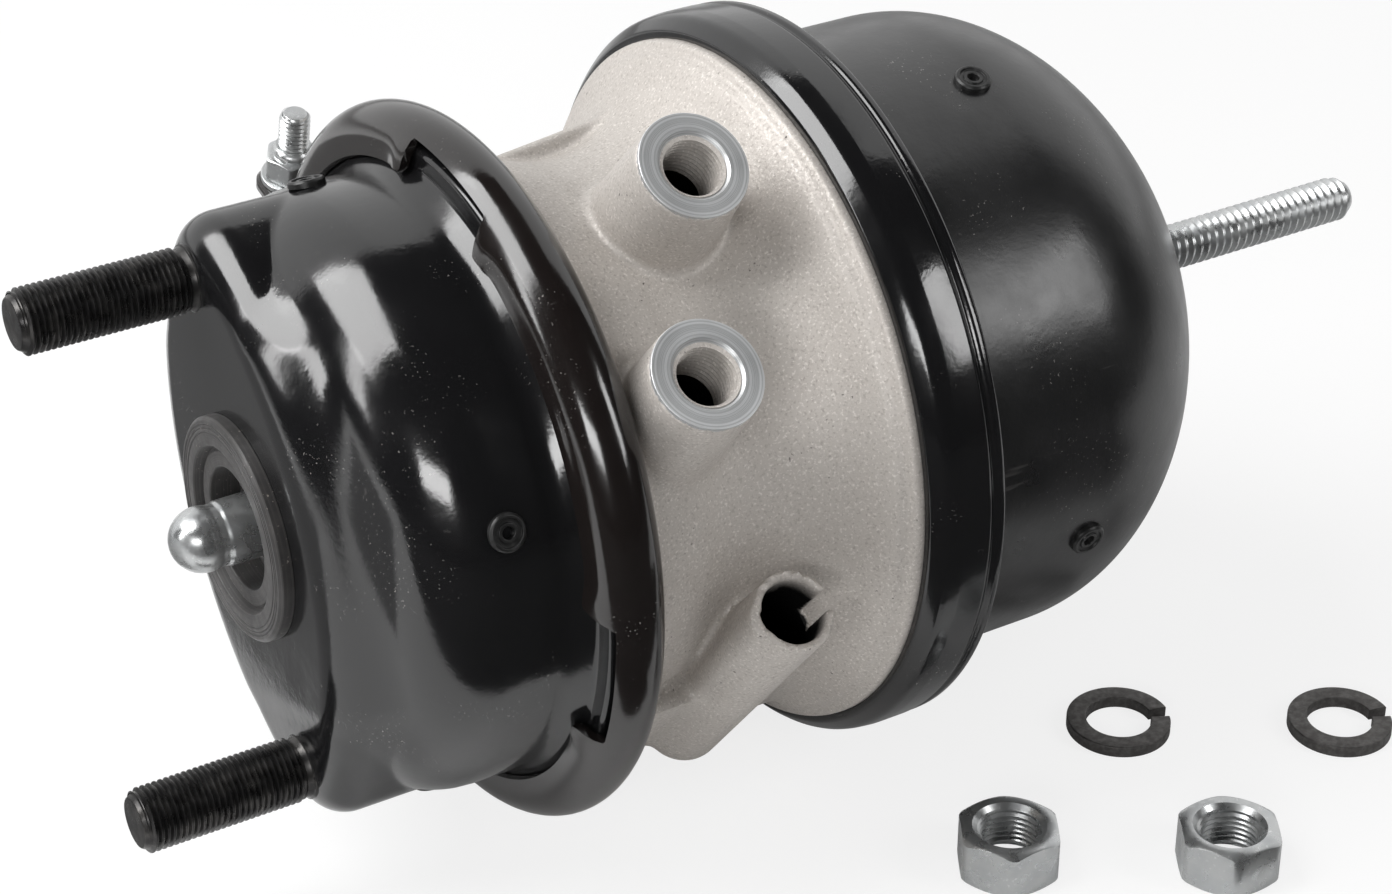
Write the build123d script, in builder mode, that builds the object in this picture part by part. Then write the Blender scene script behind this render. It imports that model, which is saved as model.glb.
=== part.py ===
from build123d import *
import math
import os

os.makedirs("parts", exist_ok=True)

# Spring brake chamber for a disc brake, service size 24, spring size 24.
# The chamber axis is X: the mounting face is at X = 0 and the spring end points to +X.
# +Z is up as the chamber lies, and a clock angle runs from +Z towards +Y about the axis.
# Sizes are in millimetres. Rest is the caged state, with the power spring held compressed.

# Mounting studs
stud_pcd = 120.65
stud_count = 2
stud_clock = 22.5
stud_radius = 8.0
stud_reach = 43.0
stud_point = 1.0
stud_shank_radius = 8.3
stud_head_radius = 11.5
stud_head_thick = 3.0

# Front pot
pot_wall = 3.2
front_radius = 75.0
front_shoulder = 9.0
front_corner = 25.0
pad_round = 10.0
pad_inset = 0.6
pad_half_width = 45.0
pad_end_round = 18.0
front_hole_radius = 22.0
front_flare_start = 46.0
front_flare_rise = 3.6

# Clamped joint at the front
clamp_face = 51.5
clamp_radius = 84.0
flange_bevel = 1.4
front_bead_thick = 4.0
cast_flange_thick = 4.2
band_wall = 2.6
band_play = 0.2
band_lip_radius = 78.5
band_outer_radius = 90.1
band_clock = 76.0
band_window_clocks = (-9.0, -100.0, 161.0)
band_window_angle = 25.0
band_window_radius = 87.3
lug_offset = 12.0
lug_wall = 4.0
lug_rise = 13.9
lug_half_width = 8.5
lug_corner = 5.0
clamp_bolt_radius = 4.0
clamp_bolt_reach = 37.0
lug_bolt_inset = 7.0
clamp_bolt_head = 5.5
clamp_nut_height = 9.4
clamp_nut_flats = 13.0
clamp_washer_thick = 1.6
clamp_washer_radius = 8.0

# Centre housing
housing_wall = 6.0
neck_radius = 75.0
waist_radius = 66.2
waist_place = 98.0
flare_round = 33.0
flare_end = 127.0
collar_place = 131.5
collar_step = 3.0
rear_flange_place = 136.3
rear_flange_thick = 5.2
rear_flange_radius = 91.0
rear_mouth_radius = 79.2
web_front = 80.0
web_rear = 92.0
web_corner = 7.0
front_mouth_radius = 72.0
front_mouth_depth = 2.0
head_recess_depth = 6.5
hub_rear = 109.5
hub_radius = 27.0
hub_draft = 1.5
draw_clock = -39.5
rib_clock = 29.0
rib_thick = 8.0
rib_front = (78.0, 68.6)
rib_rear = (124.0, 73.5)

# Air ports, threaded M16 x 1.5
port_face = 91.0
port_radius = 13.6
port_base_radius = 16.6
port_base = 52.0
port_offset = 24.3
port_places = (100.5, 81.5)
port_wall_radius = 7.25
port_thread_depth = 17.0
port_chamfer = 1.2
port_passage_radius = 4.5
port_passage_end = 50.0

# Pocket that stores the release bolt
pocket_place = 100.0
pocket_offset = 72.0
pocket_mouth = 47.0
pocket_length = 86.0
pocket_radius = 10.0
pocket_end_radius = 10.8
pocket_end_round = 5.0
pocket_bore_radius = 7.5
pocket_floor = 5.0
pocket_ear_width = 4.8
pocket_ear_reach = 9.0
pocket_web_thick = 7.0
pocket_web_top = -6.0
pocket_web_bottom = -34.0

# Crimped joint at the rear
rear_bead_thick = 4.0
rear_bead_inset = 0.7
rear_pot_wall = 3.4
ring_wall = 2.5
ring_play = 0.2
ring_side_wall = 3.1
ring_nose_drop = 2.6
ring_front_drop = 1.4
ring_shoulder = 5.9
ring_groove_depth = 1.1
ring_bead_width = 4.0
ring_hem = 5.2
ring_lean = 0.2

# Rear pot
rear_radius = 82.1
rear_flange_round = 3.5
dome_start = 193.0
dome_length = 68.3
dome_drop = 23.2
dome_flat_radius = 20.0
bolt_hole_radius = 8.0

# Stroke and the spring side
stroke = 57.0
stroke_stop = 5.5
plate_thick = 4.0
plate_radius = 63.2
plate_rim_wall = 2.0
plate_rim_height = 2.5
plate_boss_radius = 21.0
plate_boss_wall = 4.5
plate_boss_length = 18.0
slot_play = 0.6
sheet_thick = 3.0
sheet_corner = 4.2
sheet_cone = 3.6
sheet_shoulder = 12.0
sheet_lean = 1.2
adapter_base_radius = 40.0
adapter_base_thick = 3.0
tube_radius = 15.0
tube_wall = 3.5
tube_head_radius = 28.0
tube_head_thick = 6.0
tube_spigot_length = 9.0
running_play = 0.05
seat_play = 0.3
power_wire = 11.5
power_turns = 3.7
power_rear_radius = 39.0
adapter_wire = 3.4
adapter_turns = 4.5
adapter_spring_radius = 33.0

# Guide bush, rod seals and circlip in the hub
bush_radius = 18.5
bush_length = 8.5
hub_front_land = 1.5
seal_groove_radius = 18.0
seal_groove_width = 3.0
circlip_thick = 1.5
circlip_bite = 2.0
circlip_width = 4.0
circlip_gap_angle = 40.0

# Release bolt, nut and washer
bolt_radius = 6.25
bolt_tip = 337.5
bolt_point = 1.5
bolt_head_length = 8.0
bolt_head_width = 9.5
bolt_head_span = 22.0
release_nut_height = 8.5
release_nut_flats = 19.0
release_washer_thick = 2.0
release_washer_radius = 14.0

# Service side
rod_radius = 8.0
ball_place = -11.0
rod_collar_radius = 12.0
rod_collar_length = 4.0
rod_spigot_radius = 6.0
push_plate_radius = 47.0
push_plate_thick = 3.0
push_plate_dish = 1.8
return_wire = 3.8
return_turns = 4.5
return_front_radius = 35.0
return_rear_radius = 27.0

# Rubber seal on the mounting face and the dust boot behind it
seal_radius = 27.8
seal_height = 3.9
seal_step_radius = 20.0
seal_step_depth = 2.2
seal_bore_radius = 15.0
seal_lip_radius = 25.5
seal_lip_thick = 2.4
seal_fit_play = 0.1
boot_wall = 1.8
boot_outer_radius = 20.0
boot_inner_radius = 13.5
boot_flange_radius = 24.0
boot_flange_thick = 1.8
boot_fold_count = 5
boot_cuff_length = 6.0
boot_cuff_radius = 10.5

# Drain plugs
plug_radius = 4.6
plug_thick = 1.6
plug_stem_radius = 3.0
plug_stem_play = 0.05
plug_barb = 1.2
plug_bore_radius = 2.1
plug_count = 4
front_plug_place = 33.0
front_plug_clock = 20.0
rear_plug_place = 190.0
rear_plug_clock = -16.0

# Fittings that go on the studs, laid beside the chamber
mount_nut_flats = 24.0
mount_nut_height = 13.0
mount_nut_play = 0.15
lock_washer_radius = 13.7
lock_washer_bore = 8.6
lock_washer_thick = 3.6
lock_washer_gap = 2.6
nut_places = ((152.7, -103.1), (199.3, -131.3))
washer_places = ((212.4, -70.2), (262.3, -100.4))
washer_gap_turn = -20.0

# Worked-out radii
collar_radius = rear_flange_radius - collar_step
ring_outer_radius = rear_flange_radius + ring_play + ring_side_wall
ring_nose_radius = rear_flange_radius - ring_nose_drop
ring_front_radius = rear_flange_radius - ring_front_drop
ring_hem_radius = rear_radius + rear_flange_round
lug_outer_radius = band_outer_radius + lug_rise
clamp_bolt_line = lug_outer_radius - lug_bolt_inset
floor_level = -ring_outer_radius

# Worked-out places along the axis
front_bead_face = clamp_face + pot_wall
cast_face = front_bead_face + front_bead_thick
clamp_end = cast_face + cast_flange_thick
band_centre = (clamp_face + clamp_end) / 2
cast_end = rear_flange_place + rear_flange_thick
rear_clamp_face = cast_end + rear_bead_thick
rear_clamp_end = rear_clamp_face + rear_pot_wall
adapter_front = hub_rear + stroke_stop + stroke
rear_sheet_front = adapter_front + adapter_base_thick
plate_front = rear_sheet_front + sheet_thick
tube_head_front = web_front - seat_play
tube_front = tube_head_front + tube_head_thick
front_sheet_front = tube_head_front - sheet_thick
push_plate_front = front_sheet_front - push_plate_thick
hub_face = web_front + head_recess_depth
plate_boss_end = plate_front + plate_boss_length


def clock_direction(clock):
    """Unit vector across the axis at a clock angle."""
    angle = math.radians(clock)
    return Vector(0, math.sin(angle), math.cos(angle))


def axis_plane(x, clock=90.0, off_axis=0.0):
    """Plane square to the chamber axis, its X pointing along a clock angle."""
    along = clock_direction(clock)
    return Plane(origin=Vector(x, 0, 0) + along * off_axis, x_dir=along, z_dir=(1, 0, 0))


def radial_plane(x, clock, height, side=0.0):
    """Plane whose normal points out from the axis at a clock angle, set off to one side."""
    out = clock_direction(clock)
    aside = clock_direction(clock - 90)
    return Plane(origin=Vector(x, 0, 0) + out * height + aside * side, x_dir=(1, 0, 0), z_dir=out)


def half_plane(clock):
    """Plane through the chamber axis with its Y pointing along a clock angle."""
    return Plane(origin=(0, 0, 0), x_dir=(1, 0, 0), z_dir=Vector(1, 0, 0).cross(clock_direction(clock)))


def turned(points):
    """Solid turned about the chamber axis from (x, radius) points."""
    with BuildPart() as piece:
        with BuildSketch(Plane.XZ):
            Polygon(*points, align=None)
        revolve(axis=Axis.X)
    return piece


def turned_sector(points, clock, angle):
    """Solid swept about the chamber axis through part of a turn centred on a clock angle."""
    with BuildPart() as piece:
        with BuildSketch(half_plane(clock + angle / 2)):
            Polygon(*points, align=None)
        revolve(axis=Axis.X, revolution_arc=angle)
    return piece


def coil(front, rear, front_radius_mean, rear_radius_mean, turns, wire):
    """Spring wire wound about the chamber axis between two coil centres."""
    height = rear - front
    taper = math.degrees(math.atan2(rear_radius_mean - front_radius_mean, height))
    with BuildPart() as piece:
        with BuildLine() as path:
            Helix(
                pitch=height / turns,
                height=height,
                radius=front_radius_mean,
                center=(front, 0, 0),
                direction=(1, 0, 0),
                cone_angle=taper,
            )
        with BuildSketch(Plane(origin=path.line @ 0, z_dir=path.line % 0)):
            Circle(wire / 2)
        sweep(path=path.line, is_frenet=True)
    return piece


def finish(piece, label):
    """Name a finished piece and write its file."""
    piece.part.label = label
    export_step(piece.part, f"parts/{label}.step")


def lens_block(x, depth, half_length, half_width, end_round, edge_round):
    """Block of lens outline along the stud line, its front edge rounded."""
    reach = half_length - end_round
    flank = (reach**2 + half_width**2 - end_round**2) / (2 * (half_width - end_round))
    drop = flank - half_width
    share = end_round / (flank - end_round)
    corner_along = reach + reach * share
    corner_across = drop * share
    right_up = (corner_along, corner_across)
    left_up = (-corner_along, corner_across)
    left_down = (-corner_along, -corner_across)
    right_down = (corner_along, -corner_across)
    with BuildPart() as block:
        with BuildSketch(axis_plane(x, stud_clock)):
            with BuildLine():
                ThreePointArc(right_up, (0, half_width), left_up)
                ThreePointArc(left_up, (-half_length, 0), left_down)
                ThreePointArc(left_down, (0, -half_width), right_down)
                ThreePointArc(right_down, (half_length, 0), right_up)
            make_face()
        extrude(amount=depth)
        fillet(block.faces().sort_by(Axis.X)[0].edges(), edge_round)
    return block


def pot_drum(shoulder, radius, corner, end):
    """Drum with a rounded front corner, from its shoulder to an end plane."""
    with BuildPart() as drum:
        with BuildSketch(Plane.XZ):
            with BuildLine():
                Line((shoulder, 0), (shoulder, radius - corner))
                TangentArc((shoulder, radius - corner), (shoulder + corner, radius), tangent=(0, 1))
                Polyline((shoulder + corner, radius), (end, radius), (end, 0), (shoulder, 0))
            make_face()
        revolve(axis=Axis.X)
    return drum


def touch_place(point, centre, radius):
    """Where the line from a point in front touches the lower side of a circle."""
    along = point[0] - centre[0]
    across = point[1] - centre[1]
    bearing = math.atan2(across, along) + math.acos(radius / math.hypot(along, across))
    return (centre[0] + radius * math.cos(bearing), centre[1] + radius * math.sin(bearing))


def arc_height(centre, radius, x):
    """Radius of the lower side of a profile circle at a place along the axis."""
    return centre[1] - math.sqrt(radius**2 - (x - centre[0]) ** 2)


def arc_reach(centre, radius, height):
    """Place along the axis, past the circle's centre, where its lower side has a radius."""
    return centre[0] + math.sqrt(radius**2 - (centre[1] - height) ** 2)


def plug_clocks(first):
    """Clock angles of the drain plugs round a pot."""
    return [first + index * 360 / plug_count for index in range(plug_count)]


def drain_plugs(place, first_clock, seat_radius, wall, seat_shape):
    """Vented plugs round a pot, each with a disc outside and a barbed stem through the wall."""
    plugs = []
    inside = seat_radius - wall
    for clock in plug_clocks(first_clock):
        with BuildPart() as plug:
            with BuildSketch(radial_plane(place, clock, inside)):
                Circle(plug_radius)
            extrude(amount=wall + plug_thick)
            add(seat_shape.part, mode=Mode.SUBTRACT)
            with BuildSketch(radial_plane(place, clock, inside)):
                Circle(plug_stem_radius - plug_stem_play)
            extrude(amount=wall + plug_thick)
            with BuildSketch(radial_plane(place, clock, inside - plug_barb)):
                Circle(plug_stem_radius - plug_stem_play)
            extrude(amount=plug_barb)
            with BuildSketch(radial_plane(place, clock, inside - 2 * plug_barb)):
                Circle(plug_bore_radius)
            extrude(amount=wall + plug_thick + 4 * plug_barb, mode=Mode.SUBTRACT)
        plugs.append(plug.part)
    with BuildPart() as group:
        add(plugs)
    return group


# Front pot: drum, raised mounting pad and turned-out flange, all of one wall
pad_half_length = front_radius - pad_inset
pad_depth = front_shoulder + front_corner
outer_pad = lens_block(0, pad_depth, pad_half_length, pad_half_width, pad_end_round, pad_round)
inner_pad = lens_block(
    pot_wall,
    pad_depth,
    pad_half_length - pot_wall,
    pad_half_width - pot_wall,
    pad_end_round - pot_wall,
    pad_round - pot_wall,
)
outer_drum = pot_drum(front_shoulder, front_radius, front_corner, front_bead_face)
inner_drum = pot_drum(
    front_shoulder + pot_wall,
    front_radius - pot_wall,
    front_corner - pot_wall,
    front_bead_face,
)
front_mouth = front_radius - pot_wall + front_flare_rise
with BuildPart() as front_pot:
    add(outer_drum.part)
    add(outer_pad.part)
    with BuildSketch(Plane.XZ):
        Polygon(
            (front_flare_start, front_radius - pot_wall),
            (front_flare_start, front_radius),
            (clamp_face, front_radius + front_flare_rise),
            (clamp_face, clamp_radius - flange_bevel),
            (clamp_face + flange_bevel, clamp_radius),
            (front_bead_face, clamp_radius),
            (front_bead_face, front_radius - pot_wall),
            align=None,
        )
    revolve(axis=Axis.X)
    add(inner_drum.part, mode=Mode.SUBTRACT)
    add(inner_pad.part, mode=Mode.SUBTRACT)
    with BuildSketch(Plane.XZ):
        Polygon(
            (front_flare_start, 0),
            (front_flare_start, front_radius - pot_wall),
            (front_bead_face, front_mouth),
            (front_bead_face, 0),
            align=None,
        )
    revolve(axis=Axis.X, mode=Mode.SUBTRACT)
    with BuildSketch(axis_plane(0, stud_clock)):
        Circle(front_hole_radius)
        with PolarLocations(stud_pcd / 2, stud_count):
            Circle(stud_shank_radius)
    extrude(amount=pot_wall, mode=Mode.SUBTRACT)
    for clock in plug_clocks(front_plug_clock):
        with BuildSketch(radial_plane(front_plug_place, clock, front_radius / 2)):
            Circle(plug_stem_radius)
        extrude(amount=front_radius / 2 + pot_wall, mode=Mode.SUBTRACT)
finish(front_pot, "front_pot")

# Mounting studs, pressed through the face with thin heads inside the pad
for stud_name, stud_side in (("upper_stud", 1), ("lower_stud", -1)):
    off_axis = stud_side * stud_pcd / 2
    with BuildPart() as stud:
        with BuildSketch(axis_plane(pot_wall, stud_clock, off_axis)):
            Circle(stud_head_radius)
        extrude(amount=stud_head_thick)
        add(inner_pad.part, mode=Mode.INTERSECT)
        with BuildSketch(axis_plane(0, stud_clock, off_axis)):
            Circle(stud_shank_radius)
        extrude(amount=pot_wall)
        with BuildSketch(axis_plane(-stud_reach, stud_clock, off_axis)):
            Circle(stud_radius)
        extrude(amount=stud_reach)
        chamfer(stud.edges().filter_by(GeomType.CIRCLE).sort_by(Axis.X)[0], stud_point)
    finish(stud, stud_name)

# Rubber seal snapped into the face, and the bellows boot clamped behind it
seal_back = pot_wall + seal_lip_thick
front_seal = turned(
    [
        (-seal_height, seal_step_radius),
        (-seal_height, seal_radius),
        (0, seal_radius),
        (0, front_hole_radius - seal_fit_play),
        (pot_wall, front_hole_radius - seal_fit_play),
        (pot_wall, seal_lip_radius),
        (seal_back, seal_lip_radius),
        (seal_back, seal_bore_radius),
        (seal_step_depth - seal_height, seal_bore_radius),
        (seal_step_depth - seal_height, seal_step_radius),
    ]
)
finish(front_seal, "front_seal")

boot_rear = push_plate_front - rod_collar_length - seat_play
boot_cuff_front = boot_rear - boot_cuff_length
boot_front = seal_back + boot_flange_thick
fold_pitch = (boot_cuff_front - boot_front) / (2 * boot_fold_count)
fold_rise = boot_outer_radius - boot_inner_radius - boot_wall
outer_folds = []
inner_folds = []
for fold in range(1, 2 * boot_fold_count):
    crest = fold % 2
    fold_radius = boot_inner_radius + crest * fold_rise
    outer_folds.append((boot_front + fold * fold_pitch, fold_radius + boot_wall))
    inner_folds.append((boot_front + fold * fold_pitch, fold_radius))
rod_clear = rod_radius + seat_play
dust_boot = turned(
    [
        (seal_back, boot_inner_radius),
        (seal_back, boot_flange_radius),
        (boot_front, boot_flange_radius),
        (boot_front, boot_inner_radius + boot_wall),
    ]
    + outer_folds
    + [
        (boot_cuff_front, boot_cuff_radius),
        (boot_rear, boot_cuff_radius),
        (boot_rear, rod_clear),
        (boot_cuff_front - boot_wall, rod_clear),
    ]
    + inner_folds[::-1]
)
finish(dust_boot, "dust_boot")

# Push rod with its ball end, and the dished plate riveted to it
with BuildPart() as push_rod:
    with BuildSketch(Plane.XZ):
        with BuildLine():
            ball_front = ball_place - rod_radius
            collar_front = push_plate_front - rod_collar_length
            RadiusArc((ball_front, 0), (ball_place, rod_radius), rod_radius)
            Polyline(
                (ball_place, rod_radius),
                (collar_front, rod_radius),
                (collar_front, rod_collar_radius),
                (push_plate_front, rod_collar_radius),
                (push_plate_front, rod_spigot_radius),
                (front_sheet_front, rod_spigot_radius),
                (front_sheet_front, 0),
                (ball_front, 0),
            )
        make_face()
    revolve(axis=Axis.X)
finish(push_rod, "push_rod")

push_plate = turned(
    [
        (push_plate_front, rod_spigot_radius),
        (push_plate_front, push_plate_radius - 2 * push_plate_dish),
        (push_plate_front - push_plate_dish, push_plate_radius - push_plate_dish / 2),
        (push_plate_front - push_plate_dish / 2, push_plate_radius),
        (front_sheet_front - push_plate_dish, push_plate_radius),
        (front_sheet_front, push_plate_radius - 2 * push_plate_dish),
        (front_sheet_front, rod_spigot_radius),
    ]
)
finish(push_plate, "push_plate")

return_front = pot_wall + return_wire / 2 + seat_play
return_rear = push_plate_front - return_wire / 2 - seat_play
return_spring = coil(
    return_front,
    return_rear,
    return_front_radius,
    return_rear_radius,
    return_turns,
    return_wire,
)
finish(return_spring, "return_spring")

# Outline of the centre housing: cone, waist and flare share one tangent circle
flare_centre = (waist_place, waist_radius + flare_round)
neck_touch = touch_place((clamp_end, neck_radius), flare_centre, flare_round)
neck_slope = (neck_touch[1] - neck_radius) / (neck_touch[0] - clamp_end)
inner_round = flare_round + housing_wall


def inner_neck(x):
    """Radius of the front cavity's wall, parallel to the outside of the neck."""
    return neck_radius - housing_wall + neck_slope * (x - clamp_end)


# Service diaphragm, lying back in the front cavity with its bead in the clamp
corner_start = web_front - web_corner
service_diaphragm = turned(
    [
        (front_bead_face, clamp_radius - flange_bevel),
        (cast_face, clamp_radius - flange_bevel),
        (cast_face, front_mouth_radius - seat_play),
        (cast_face + front_mouth_depth, inner_neck(cast_face + front_mouth_depth) - seat_play),
        (corner_start, inner_neck(corner_start) - 2 * seat_play),
        (tube_head_front, inner_neck(corner_start) - web_corner - 2 * seat_play),
        (tube_head_front, 0),
        (front_sheet_front, 0),
        (front_sheet_front, inner_neck(corner_start) - web_corner - sheet_thick),
        (corner_start - sheet_thick / 2, inner_neck(corner_start) - sheet_corner),
        (cast_face + front_mouth_depth, inner_neck(cast_face + front_mouth_depth) - sheet_cone),
        (front_bead_face, front_mouth_radius - sheet_thick),
    ]
)
finish(service_diaphragm, "service_diaphragm")

# Clamp band: half-round channel over both flanges, with windows and two lugs
band_inner_half = (clamp_end - clamp_face) / 2 + band_play
band_outer_half = band_inner_half + band_wall
band_arc_base = band_outer_radius - band_outer_half
with BuildPart() as band_space:
    with BuildSketch(Plane.XZ):
        with BuildLine():
            ThreePointArc(
                (band_centre - band_inner_half, band_arc_base),
                (band_centre, band_arc_base + band_inner_half),
                (band_centre + band_inner_half, band_arc_base),
            )
            Polyline(
                (band_centre + band_inner_half, band_arc_base),
                (band_centre + band_inner_half, band_lip_radius),
                (band_centre + band_outer_half, band_lip_radius),
                (band_centre + band_outer_half, 0),
                (band_centre - band_outer_half, 0),
                (band_centre - band_outer_half, band_lip_radius),
                (band_centre - band_inner_half, band_lip_radius),
                (band_centre - band_inner_half, band_arc_base),
            )
        make_face()
    revolve(axis=Axis.X)
lug_middle = (band_lip_radius + lug_outer_radius) / 2
with BuildPart() as clamp_band:
    with BuildSketch(Plane.XZ):
        with BuildLine():
            ThreePointArc(
                (band_centre - band_outer_half, band_arc_base),
                (band_centre, band_outer_radius),
                (band_centre + band_outer_half, band_arc_base),
            )
            Polyline(
                (band_centre + band_outer_half, band_arc_base),
                (band_centre + band_outer_half, band_lip_radius),
                (band_centre - band_outer_half, band_lip_radius),
                (band_centre - band_outer_half, band_arc_base),
            )
        make_face()
    revolve(axis=Axis.X)
    with BuildSketch(radial_plane(band_centre, band_clock, 0)):
        Rectangle(2 * lug_half_width + band_wall, 2 * lug_offset)
    extrude(amount=lug_outer_radius, mode=Mode.SUBTRACT)
    for lug_side in (-1, 1):
        lug_plane = Plane(
            origin=Vector(band_centre, 0, 0) + clock_direction(band_clock) * lug_middle,
            x_dir=(1, 0, 0),
            z_dir=clock_direction(band_clock - 90),
        )
        with BuildSketch(lug_plane.offset(lug_side * (lug_offset + lug_wall / 2))):
            RectangleRounded(2 * lug_half_width, lug_outer_radius - band_lip_radius, lug_corner)
        extrude(amount=lug_wall / 2, both=True)
    add(band_space.part, mode=Mode.SUBTRACT)
    for window_clock in band_window_clocks:
        window = turned_sector(
            [
                (band_centre - band_outer_half - band_wall, band_lip_radius - band_wall),
                (band_centre - band_outer_half - band_wall, band_window_radius),
                (band_centre - band_inner_half + band_wall, band_window_radius),
                (band_centre - band_inner_half + band_wall, band_lip_radius - band_wall),
            ],
            window_clock,
            band_window_angle,
        )
        add(window.part, mode=Mode.SUBTRACT)
    with BuildSketch(lug_plane.offset(-lug_outer_radius)):
        with Locations((0, clamp_bolt_line - lug_middle)):
            Circle(clamp_bolt_radius + band_play)
    extrude(amount=2 * lug_outer_radius, mode=Mode.SUBTRACT)
finish(clamp_band, "clamp_band")

# Clamp bolt, its washer and its lock nut, tangential to the band
bolt_line = Vector(band_centre, 0, 0) + clock_direction(band_clock) * clamp_bolt_line
bolt_plane = Plane(origin=bolt_line, x_dir=(1, 0, 0), z_dir=clock_direction(band_clock - 90))
lug_outside = lug_offset + lug_wall
with BuildPart() as clamp_bolt:
    with BuildSketch(bolt_plane.offset(-lug_outside - clamp_bolt_head)):
        RegularPolygon(clamp_nut_flats / 2, 6, major_radius=False)
    extrude(amount=clamp_bolt_head)
    with BuildSketch(bolt_plane.offset(-lug_outside)):
        Circle(clamp_bolt_radius)
    extrude(amount=lug_outside + clamp_bolt_reach)
finish(clamp_bolt, "clamp_bolt")

with BuildPart() as clamp_washer:
    with BuildSketch(bolt_plane.offset(lug_outside)):
        Circle(clamp_washer_radius)
        Circle(clamp_bolt_radius + running_play, mode=Mode.SUBTRACT)
    extrude(amount=clamp_washer_thick)
finish(clamp_washer, "clamp_washer")

with BuildPart() as clamp_nut:
    with BuildSketch(bolt_plane.offset(lug_outside + clamp_washer_thick)):
        RegularPolygon(clamp_nut_flats / 2, 6, major_radius=False)
        Circle(clamp_bolt_radius + running_play, mode=Mode.SUBTRACT)
    extrude(amount=clamp_nut_height)
finish(clamp_nut, "clamp_nut")

# Centre housing, die cast: hourglass body, flanges, ports, storage pocket and ribs
with BuildPart() as front_cavity:
    with BuildSketch(Plane.XZ):
        with BuildLine():
            cavity_corner = inner_neck(corner_start)
            Polyline(
                (cast_face, 0),
                (cast_face, front_mouth_radius),
                (cast_face + front_mouth_depth, inner_neck(cast_face + front_mouth_depth)),
                (corner_start, cavity_corner),
            )
            TangentArc(
                (corner_start, cavity_corner),
                (web_front, cavity_corner - web_corner),
                tangent=(1, neck_slope),
            )
            Polyline(
                (web_front, cavity_corner - web_corner),
                (web_front, tube_head_radius + 2 * seat_play),
                (hub_face, tube_head_radius + 2 * seat_play),
                (hub_face, 0),
                (cast_face, 0),
            )
        make_face()
    revolve(axis=Axis.X)
with BuildPart() as rear_cavity:
    with BuildSketch(Plane.XZ):
        with BuildLine():
            waist_inside = waist_radius - housing_wall
            arc_start = (waist_place, waist_inside)
            arc_end_x = arc_reach(flare_centre, inner_round, rear_mouth_radius - housing_wall / 3)
            arc_end = (arc_end_x, rear_mouth_radius - housing_wall / 3)
            Polyline(
                (web_rear, hub_radius + hub_draft),
                (web_rear, waist_inside - (waist_place - web_rear)),
            )
            TangentArc(
                (web_rear, waist_inside - (waist_place - web_rear)),
                arc_start,
                tangent=(0, 1),
            )
            TangentArc(arc_start, arc_end, tangent=(1, 0))
            Polyline(
                arc_end,
                (cast_end, rear_mouth_radius),
                (cast_end, 0),
                (hub_rear, 0),
                (hub_rear, hub_radius),
                (web_rear, hub_radius + hub_draft),
            )
        make_face()
    revolve(axis=Axis.X)
with BuildPart() as pocket_body:
    with BuildSketch(radial_plane(pocket_place, draw_clock, pocket_mouth, pocket_offset)):
        Circle(pocket_radius)
    with BuildSketch(
        radial_plane(pocket_place, draw_clock, pocket_mouth - pocket_length, pocket_offset)
    ):
        Circle(pocket_end_radius)
    loft()
    bottom_edge = pocket_body.edges().sort_by(Axis(origin=(0, 0, 0), direction=clock_direction(draw_clock)))[0]
    fillet(bottom_edge, pocket_end_round)
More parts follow.
